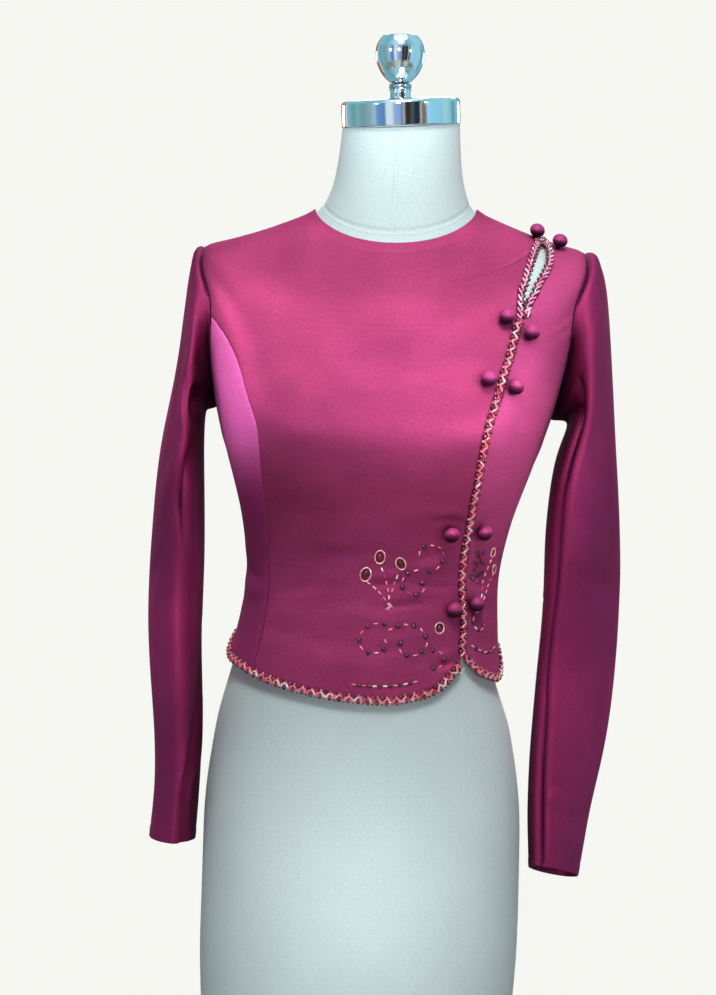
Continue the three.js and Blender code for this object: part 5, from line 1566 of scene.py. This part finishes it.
# ------------------------------------------------------------------ the dress form: jersey over a smooth limbless bust
def form_object():
    rows = np.unique(np.round(np.concatenate([
        [0, 0.8, 2.0, 4.0], np.arange(8, 330, 8), np.arange(330, 700, 7), np.arange(700, 764, 2.5), np.arange(764, 768, 1.0),
        np.arange(768, 780, 0.7), np.arange(780, 838, 2.2), np.arange(838, 842.5, 1.2), [843, 844, 845, 845.6, FORM_TOP],
    ]), 3))
    cf = -2.2
    deg = np.unique(np.round(np.concatenate([
        np.arange(-180, cf - 8, 2.5), np.arange(cf - 8, cf - 1.8, 0.9), cf + np.array([-1.5, -1.1, -0.8, -0.5, -0.25, 0, 0.25, 0.5, 0.8, 1.1, 1.5]),
        np.arange(cf + 2.1, cf + 8, 0.9), np.arange(cf + 8.5, 180, 2.5),
    ]), 3))
    deg = deg[deg < 178.6]
    A, B = np.meshgrid(rows, deg, indexing="ij")
    base = form(B, A)
    n = normal(B, A)
    d = np.zeros(A.shape)
    per_degree = 2 * math.pi * 55 / 360
    # the neck is a separate piece of jersey: a sewn line round its foot, and a seam down its middle
    neck = smoothstep(771.5, 773, A)
    d -= 0.55 * np.exp(-(((A - 773.5) / 0.9) ** 2)) + 0.25 * np.exp(-(((A - 773.5) / 3.2) ** 2))
    d -= (0.45 * np.exp(-(((B - cf) * per_degree / 0.6) ** 2)) + 0.15 * np.exp(-(((B - cf) * per_degree / 2.4) ** 2))) * neck
    d += 0.14 * np.sin(B * RAD * 60 + 2 * np.sin(3 * B * RAD)) * np.exp(-(((A - 773.5) / 4.0) ** 2))
    d += 0.18 * np.sin(B * RAD * 3 + A / 23.0) * neck
    d += np.minimum(chest_even(B, A), 0.0)
    d = np.where(A > 841, d * (FORM_TOP - A) / 5.0, d)
    g = base + n * (d - 0.05)[..., None]
    g = np.concatenate([g, g[:, :1]], 1)
    du = np.concatenate([np.zeros((len(rows), 1)), np.cumsum(np.linalg.norm(np.diff(g, axis=1), axis=2), 1)], 1)
    du = du - du[:, [int(np.argmin(abs(deg - 0)))]]
    dv = np.concatenate([[0], np.cumsum(np.linalg.norm(np.diff(form(0.0, rows), axis=0), axis=1))])
    uv = np.stack([du, np.broadcast_to(dv[:, None], du.shape)], -1) * 0.001
    g = g[:, :-1]
    nr, nc = g.shape[:2]
    j, i = np.meshgrid(np.arange(nr - 1), np.arange(nc), indexing="ij")
    j, i = j.ravel(), i.ravel()
    i2 = (i + 1) % nc
    quads = np.stack([j * nc + i, j * nc + i2, (j + 1) * nc + i2, (j + 1) * nc + i], 1)
    U = uv.reshape(-1, 2)
    w = nc + 1
    uvq = U[np.stack([j * w + i, j * w + i + 1, (j + 1) * w + i + 1, (j + 1) * w + i], 1)]
    verts = g.reshape(-1, 3)
    top = (nr - 1) * nc
    lowc, topc = g[0].mean(0), g[-1].mean(0)
    verts = np.concatenate([verts, [topc, lowc]])
    k = np.arange(nc)
    caps = np.concatenate([np.stack([top + k, top + (k + 1) % nc, np.full(nc, nr * nc)], 1), np.stack([(k + 1) % nc, k, np.full(nc, nr * nc + 1)], 1)])
    capuv = np.concatenate([
        np.stack([verts[caps[:, 0]][:, :2], verts[caps[:, 1]][:, :2], verts[caps[:, 2]][:, :2]], 1) * 0.001,
    ])
    return make_mesh("form_jersey_bust", verts, [quads, caps], [JERSEY], np.concatenate([uvq.reshape(-1, 2), capuv.reshape(-1, 2)]))


FORM = form_object()


def form_line(phi, s):
    phi, s = np.broadcast_arrays(np.asarray(phi, float), np.asarray(s, float))
    return form(phi, s), normal(phi, s)


FORM_STITCHES = stitches("form_stitches", [
    form_line(np.arange(-178, 182, 1.5), 775.2),
    form_line(np.arange(-178, 182, 1.5), 771.6),
    form_line(-2.2 - 2.6, np.arange(842, 776, -1.0)),
], 1.9, 1.7, 0.16, GREY_THREAD, 0.05)


# ------------------------------------------------------------------ the polished neck cap, its stem and knob
def turned(name, origin, axis, profile, around, mats, face_mat=None, wobble=0.0):
    """A turned solid from (radius, height) pairs; the first and last have radius 0."""
    axis = np.asarray(axis, float)
    axis = axis / np.linalg.norm(axis)
    X = np.cross([0, 1.0, 0], axis)
    X /= np.linalg.norm(X)
    Y = np.cross(axis, X)
    t = np.arange(around) * 2 * math.pi / around
    prof = [p for p in profile[1:-1]]
    rows = []
    for r, h in prof:
        rows.append(np.asarray(origin) + X * (r * np.cos(t))[:, None] + Y * (r * np.sin(t))[:, None] + axis * h)
    rows = np.array(rows)
    nr, nc = rows.shape[:2]
    j, i = np.meshgrid(np.arange(nr - 1), np.arange(nc), indexing="ij")
    j, i = j.ravel(), i.ravel()
    i2 = (i + 1) % nc
    quads = np.stack([j * nc + i, j * nc + i2, (j + 1) * nc + i2, (j + 1) * nc + i], 1)
    top = (nr - 1) * nc
    k = np.arange(nc)
    caps = np.concatenate([np.stack([top + k, top + (k + 1) % nc, np.full(nc, nr * nc)], 1), np.stack([(k + 1) % nc, k, np.full(nc, nr * nc + 1)], 1)])
    verts = np.concatenate([rows.reshape(-1, 3), [np.asarray(origin) + axis * profile[-1][1]], [np.asarray(origin) + axis * profile[0][1]]])
    mat_index = None
    if face_mat is not None:
        mat_index = np.concatenate([[face_mat(prof[a][1]) for a in j], [face_mat(profile[-1][1])] * nc, [face_mat(profile[0][1])] * nc])
    return make_mesh(name, verts, [quads, caps], mats, face_mat=mat_index)


def rounded(profile, step=0.35, radius=0.8):
    """Replaces each inner corner of a profile by a small arc."""
    out = [profile[0]]
    P = [np.array(p, float) for p in profile]
    for a, b, c in zip(P[:-2], P[1:-1], P[2:]):
        la, lc = np.linalg.norm(a - b), np.linalg.norm(c - b)
        r = min(radius, 0.45 * la, 0.45 * lc)
        p, q = b + (a - b) / la * r, b + (c - b) / lc * r
        for u in np.linspace(0, 1, 5):
            out.append(tuple((1 - u) ** 2 * p + 2 * u * (1 - u) * b + u * u * q))
    out.append(profile[-1])
    return out


def dense(profile, step):
    out = [profile[0]]
    for a, b in zip(profile[:-1], profile[1:]):
        a_, b_ = np.array(a, float), np.array(b, float)
        n = max(1, int(np.linalg.norm(b_ - a_) / step))
        out += [tuple(a_ + (b_ - a_) * (k + 1) / n) for k in range(n)]
    return out


_f846, _b846 = float(section["f"](FORM_TOP)), float(section["b"](FORM_TOP))
SLOPE_Y = float(section["dropF"](FORM_TOP)) / _f846
SLOPE_X = math.tan(float(section["tilt"](FORM_TOP)) * RAD)
_ny = (_b846 - _f846) / 2
NECK = np.array([float(section["sway"](FORM_TOP)), _ny, FORM_TOP + SLOPE_Y * _ny])
CAP_AXIS = unit(np.array([-SLOPE_X, -SLOPE_Y, 1.0]))
KNOB_AXIS = unit(np.array([-0.045, -SLOPE_Y, 1.0]))
R, H = CAP_RADIUS, CAP_HEIGHT
CAP = turned("neck_cap_metal", NECK + CAP_AXIS * 0.35, CAP_AXIS,
             dense(rounded([(0, 0), (R - 1.2, 0), (R, 1.2), (R, H - 3.2), (R - 1.0, H - 1.4), (R - 3.2, H), (0, H)], radius=1.1), 3.0), 192, [CHROME])
STEM_BASE = NECK + CAP_AXIS * (0.35 + H + 0.75)
STEM = turned("knob_stem_metal", STEM_BASE, KNOB_AXIS,
              rounded([(0, 0), (10.3, 0), (10.7, 1.6), (10.6, 6.6), (10.0, 8.4), (10.0, 9.2), (10.8, 10.4), (10.8, 12.6), (9.6, 13.6), (0, 13.6)], radius=0.6), 96,
              [CHROME, DARK_RING], lambda h: 1 if h > 8.2 else 0)
_ball = smooth_table([0, 3.6, 8.8, 15.2, 21.3, 27.3, 33.0, 38.8, 43.5], [8.4, 12.8, 17.2, 20.4, 22.3, 22.8, 22.1, 19.7, 15.9])
_bh = np.linspace(0, 43.5, 64)
_br = blurred(_ball(_bh), 1.6, _bh[1])
_br = np.minimum(_br, _ball(_bh))
KNOB = turned("knob_metal", STEM_BASE + KNOB_AXIS * (13.6 + 0.35), KNOB_AXIS,
              [(0, 0)] + [(float(r), float(h)) for r, h in zip(_br, _bh)] + [(14.9, 44.25), (13.0, 44.3), (0, 44.3)], 128, [CHROME])


# ------------------------------------------------------------------ the imported parts the pieces replace are hidden, and every piece hangs on the root
for name, (o, _) in PANELS.items():
    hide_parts(name)
for side, (o, _) in SLEEVES.items():
    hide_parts("sleeve_" + side)
for name, o in TRIMS.items():
    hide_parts(name)
for name, o in BUTTON_OBJECTS.items():
    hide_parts("button_" + name)
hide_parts("form_body")
for o, name in ((CAP, "neck_cap"), (STEM, "knob_stem"), (KNOB, "knob_ball")):
    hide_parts(name)
for o in [p[0] for p in PANELS.values()] + [p[0] for p in SLEEVES.values()] + list(TRIMS.values()) + list(EMBROIDERY.values()) + list(BUTTON_OBJECTS.values()) + [STITCHES, ARMHOLES, FORM, FORM_STITCHES, CAP, STEM, KNOB]:
    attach(o, "root")

# ------------------------------------------------------------------ stage: pale floor, soft light, the photograph's camera
PALE = (0.9216, 0.9301, 0.8880)


def pale_floor():
    o = make_mesh("floor", [(-6000, -5000, 0), (6000, -5000, 0), (6000, 9000, 0), (-6000, 9000, 0)], [np.array([[0, 1, 2, 3]])], [], smooth=False)
    m = bpy.data.materials.new("pale_floor")
    m.use_nodes = True
    nt = m.node_tree
    nt.nodes.clear()
    out = nt.nodes.new("ShaderNodeOutputMaterial")
    path = nt.nodes.new("ShaderNodeLightPath")
    glow = nt.nodes.new("ShaderNodeEmission")
    glow.inputs["Color"].default_value = (*PALE, 1)
    dull = nt.nodes.new("ShaderNodeBsdfDiffuse")
    dull.inputs["Color"].default_value = (0.60, 0.61, 0.60, 1)
    mix = nt.nodes.new("ShaderNodeMixShader")
    nt.links.new(path.outputs["Is Camera Ray"], mix.inputs[0])
    nt.links.new(dull.outputs[0], mix.inputs[1])
    nt.links.new(glow.outputs[0], mix.inputs[2])
    # polished metal looks past the floor to the room's own foot
    clear = nt.nodes.new("ShaderNodeBsdfTransparent")
    past = nt.nodes.new("ShaderNodeMixShader")
    nt.links.new(path.outputs["Is Glossy Ray"], past.inputs[0])
    nt.links.new(mix.outputs[0], past.inputs[1])
    nt.links.new(clear.outputs[0], past.inputs[2])
    nt.links.new(past.outputs[0], out.inputs[0])
    o.data.materials.append(m)
    return o


pale_floor()

BANDS = [  # azimuth in degrees from straight ahead (-Y), + towards +X; a colour up to the next one
    (-180, (0.30, 0.13, 0.09)), (-136, (0.34, 0.17, 0.12)), (-133, (0.85, 0.92, 0.93)), (-127, (0.28, 0.55, 0.62)),
    (-104, (0.15, 0.40, 0.45)), (-96, (0.26, 0.50, 0.53)), (-80, (0.20, 0.40, 0.44)), (-62, (0.30, 0.48, 0.55)),
    (-53, (0.42, 0.62, 0.78)), (-48, (0.16, 0.34, 0.68)), (-32, (0.11, 0.26, 0.55)), (-29, (0.80, 0.92, 0.98)),
    (-17, (0.72, 0.88, 0.96)), (-14, (0.36, 0.50, 0.88)), (-2, (0.30, 0.44, 0.80)), (2, (0.12, 0.19, 0.30)),
    (5, (0.55, 0.66, 0.72)), (8.5, (0.05, 0.025, 0.028)), (17, (0.045, 0.03, 0.032)), (20, (0.10, 0.125, 0.14)),
    (28, (0.012, 0.03, 0.045)), (36, (0.012, 0.035, 0.05)), (38, (0.62, 0.66, 0.66)), (41, (0.24, 0.15, 0.12)),
    (48, (0.20, 0.14, 0.11)), (52, (0.34, 0.74, 0.97)), (84, (0.30, 0.70, 0.93)), (92, (0.45, 0.78, 0.84)),
    (110, (0.30, 0.62, 0.72)), (118, (0.12, 0.34, 0.44)), (130, (0.24, 0.60, 0.80)), (160, (0.10, 0.26, 0.34)),
]


SOFT_STRENGTH = 0.06


def studio_world():
    w = bpy.data.worlds.new("studio")
    bpy.context.scene.world = w
    w.use_nodes = True
    nt = w.node_tree
    nt.nodes.clear()
    out = nt.nodes.new("ShaderNodeOutputWorld")
    path = nt.nodes.new("ShaderNodeLightPath")
    sep = nt.nodes.new("ShaderNodeSeparateXYZ")
    nt.links.new(nt.nodes.new("ShaderNodeTexCoord").outputs["Generated"], sep.inputs[0])
    x, y, z = sep.outputs
    az = math_node(nt, "ARCTAN2", x, math_node(nt, "MULTIPLY", y, -1.0))
    az = math_node(nt, "MULTIPLY_ADD", az, 1 / (2 * math.pi))
    nt.nodes[-1].inputs[2].default_value = 0.5
    bands = ramp(nt, az, [((a + 180) / 360, c) for a, c in BANDS])
    sky = ramp(nt, az, [(0.0, (0.30, 0.62, 0.72)), (0.30, (0.22, 0.52, 0.62)), (0.42, (0.55, 0.85, 0.95)), (0.50, (0.62, 0.86, 0.93)), (0.58, (0.20, 0.46, 0.56)), (0.75, (0.40, 0.76, 0.88)), (1.0, (0.30, 0.62, 0.72))])
    ground = ramp(nt, az, [(0.0, (0.20, 0.22, 0.21)), (0.36, (0.26, 0.30, 0.29)), (0.44, (0.55, 0.62, 0.62)), (0.50, (0.62, 0.70, 0.71)), (0.53, (0.14, 0.15, 0.14)), (0.60, (0.66, 0.70, 0.68)), (0.66, (0.20, 0.20, 0.18)), (1.0, (0.20, 0.22, 0.21))])
    half = math_node(nt, "MULTIPLY_ADD", z, 0.5)
    nt.nodes[-1].inputs[2].default_value = 0.5
    up = ramp(nt, half, [(0.66, (0, 0, 0)), (0.76, (1, 1, 1))])
    down = ramp(nt, half, [(0.20, (1, 1, 1)), (0.27, (0, 0, 0))])
    room = mix_colour(nt, down, mix_colour(nt, up, bands, sky), ground)
    soft = ramp(nt, half, [(0.0, (0.55, 0.50, 0.52)), (0.45, (0.78, 0.76, 0.84)), (0.75, (0.92, 0.95, 1.0)), (1.0, (1.0, 1.0, 1.0))])

    def background(colour, strength):
        b = nt.nodes.new("ShaderNodeBackground")
        b.inputs["Strength"].default_value = strength
        if isinstance(colour, tuple):
            b.inputs["Color"].default_value = (*colour, 1)
        else:
            nt.links.new(colour, b.inputs["Color"])
        return b.outputs[0]

    def either(fac, a, b):
        m = nt.nodes.new("ShaderNodeMixShader")
        nt.links.new(fac, m.inputs[0])
        nt.links.new(a, m.inputs[1])
        nt.links.new(b, m.inputs[2])
        return m.outputs[0]

    other = either(path.outputs["Is Glossy Ray"], background(soft, SOFT_STRENGTH), background(room, 1.0))
    nt.links.new(either(path.outputs["Is Camera Ray"], other, background(PALE, 1.0)), out.inputs[0])
    w.cycles.sampling_method = "NONE"


studio_world()


def spot(name, at, target, power, cone, colour, radius=0.35):
    d = bpy.data.lights.new(name, "SPOT")
    d.energy, d.color, d.spot_size, d.spot_blend, d.shadow_soft_size = power, colour, math.radians(cone), 1.0, radius
    o = bpy.data.objects.new(name, d)
    o.location = at
    o.rotation_euler = (Vector(target) - Vector(at)).to_track_quat("-Z", "Y").to_euler()
    bpy.context.scene.collection.objects.link(o)
    return o


def softbox(name, at, target, size, power, colour, spread=180):
    d = bpy.data.lights.new(name, "AREA")
    d.shape, d.size, d.energy, d.color, d.spread = "DISK", size, power, colour, math.radians(spread)
    o = bpy.data.objects.new(name, d)
    o.location = at
    o.rotation_euler = (Vector(target) - Vector(at)).to_track_quat("-Z", "Y").to_euler()
    bpy.context.scene.collection.objects.link(o)
    return o


def around(azimuth, elevation, target, away=2.0):
    """A place `away` metres from the target; azimuth 0 is straight in front, + to the viewer's right."""
    a, e = math.radians(azimuth), math.radians(elevation)
    return (target[0] + away * math.cos(e) * math.sin(a), target[1] - away * math.cos(e) * math.cos(a), target[2] + away * math.sin(e))


for name, azimuth, elevation, target, power, cone, radius, colour in (
    ("key_chest", 3, 48, (0.005, -0.10, 0.676), 168, 26, 0.40, (0.91, 1.0, 0.95)),
    ("low_chest", 3, 8, (0.0, -0.10, 0.600), 112, 9.4, 0.12, (0.88, 1.0, 1.0)),
    ("bust_right", 24, 8, (0.122, -0.085, 0.560), 60, 6.0, 0.08, (0.86, 1.0, 1.0)),
    ("side_high", -35, 10, (-0.136, -0.085, 0.660), 148, 3.6, 0.03, (0.90, 1.0, 0.96)),
    ("side_mid", -35, 8, (-0.132, -0.087, 0.575), 118, 3.6, 0.03, (0.88, 0.96, 1.0)),
    ("side_right", 38, 4, (0.108, -0.090, 0.556), 104, 6.6, 0.06, (0.92, 0.98, 1.0)),
    ("strip", 42, 20, (0.125, -0.08, 0.62), 18, 8, 0.06, (0.92, 1.0, 1.0)),
    ("left_shoulder", 22, 14, (0.166, -0.07, 0.696), 98, 3.6, 0.05, (0.90, 0.98, 1.0)),
    ("left_upper", -20, 12, (-0.180, -0.045, 0.58), 12, 5, 0.05, (1.0, 0.94, 0.98)),
    ("left_forearm", -2, 5, (-0.176, -0.05, 0.37), 84, 3.3, 0.05, (1.0, 0.98, 1.0)),
    ("right_forearm", 15, 5, (0.215, -0.05, 0.33), 44, 8, 0.08, (1.0, 0.96, 0.98)),
    ("neck", -6, 6, (0.015, -0.03, 0.872), 112, 6.3, 0.10, (0.84, 1.0, 1.0)),
    ("neck_left", -48, 6, (0.010, -0.03, 0.872), 110, 6.0, 0.10, (0.84, 1.0, 1.0)),
    ("neck_right", 48, 6, (0.020, -0.03, 0.872), 100, 6.0, 0.10, (0.88, 1.0, 1.0)),
    ("form_foot", 2, 0, (0.0, -0.10, 0.14), 122, 11.5, 0.15, (0.94, 1.0, 1.0)),
    ("back_high", 177, 38, (0.0, 0.08, 0.64), 92, 32, 0.40, (0.96, 1.0, 0.98)),
    ("back_low", 183, 4, (0.0, 0.08, 0.34), 46, 30, 0.30, (0.96, 1.0, 1.0)),
    ("far_left", -150, 16, (-0.16, 0.03, 0.50), 26, 32, 0.30, (1.0, 0.98, 1.0)),
    ("far_right", 150, 16, (0.18, 0.03, 0.50), 26, 32, 0.30, (1.0, 0.98, 1.0)),
):
    spot(name, around(azimuth, elevation, target), target, power, cone, colour, radius)
softbox("overhead", around(0, 75, (0, 0, 0.5), 2.2), (0, 0, 0.5), 1.6, 5.0, (1.0, 0.99, 0.98))

cam = bpy.data.cameras.new("camera")
cam.sensor_fit, cam.sensor_width, cam.lens = "AUTO", 36.0, 2043.0 * 36 / 995
cam.dof.use_dof = False
cam_o = bpy.data.objects.new("camera", cam)
roll = math.radians(2.2)
cr, sr = math.cos(roll), math.sin(roll)
cam_o.matrix_world = Matrix(((cr, -sr, 0, -0.016), (0, 0, -1, -1.9), (sr, cr, 0, 0.5), (0, 0, 0, 1)))
bpy.context.scene.collection.objects.link(cam_o)
bpy.context.scene.camera = cam_o
bpy.context.scene.view_settings.view_transform = "Standard"
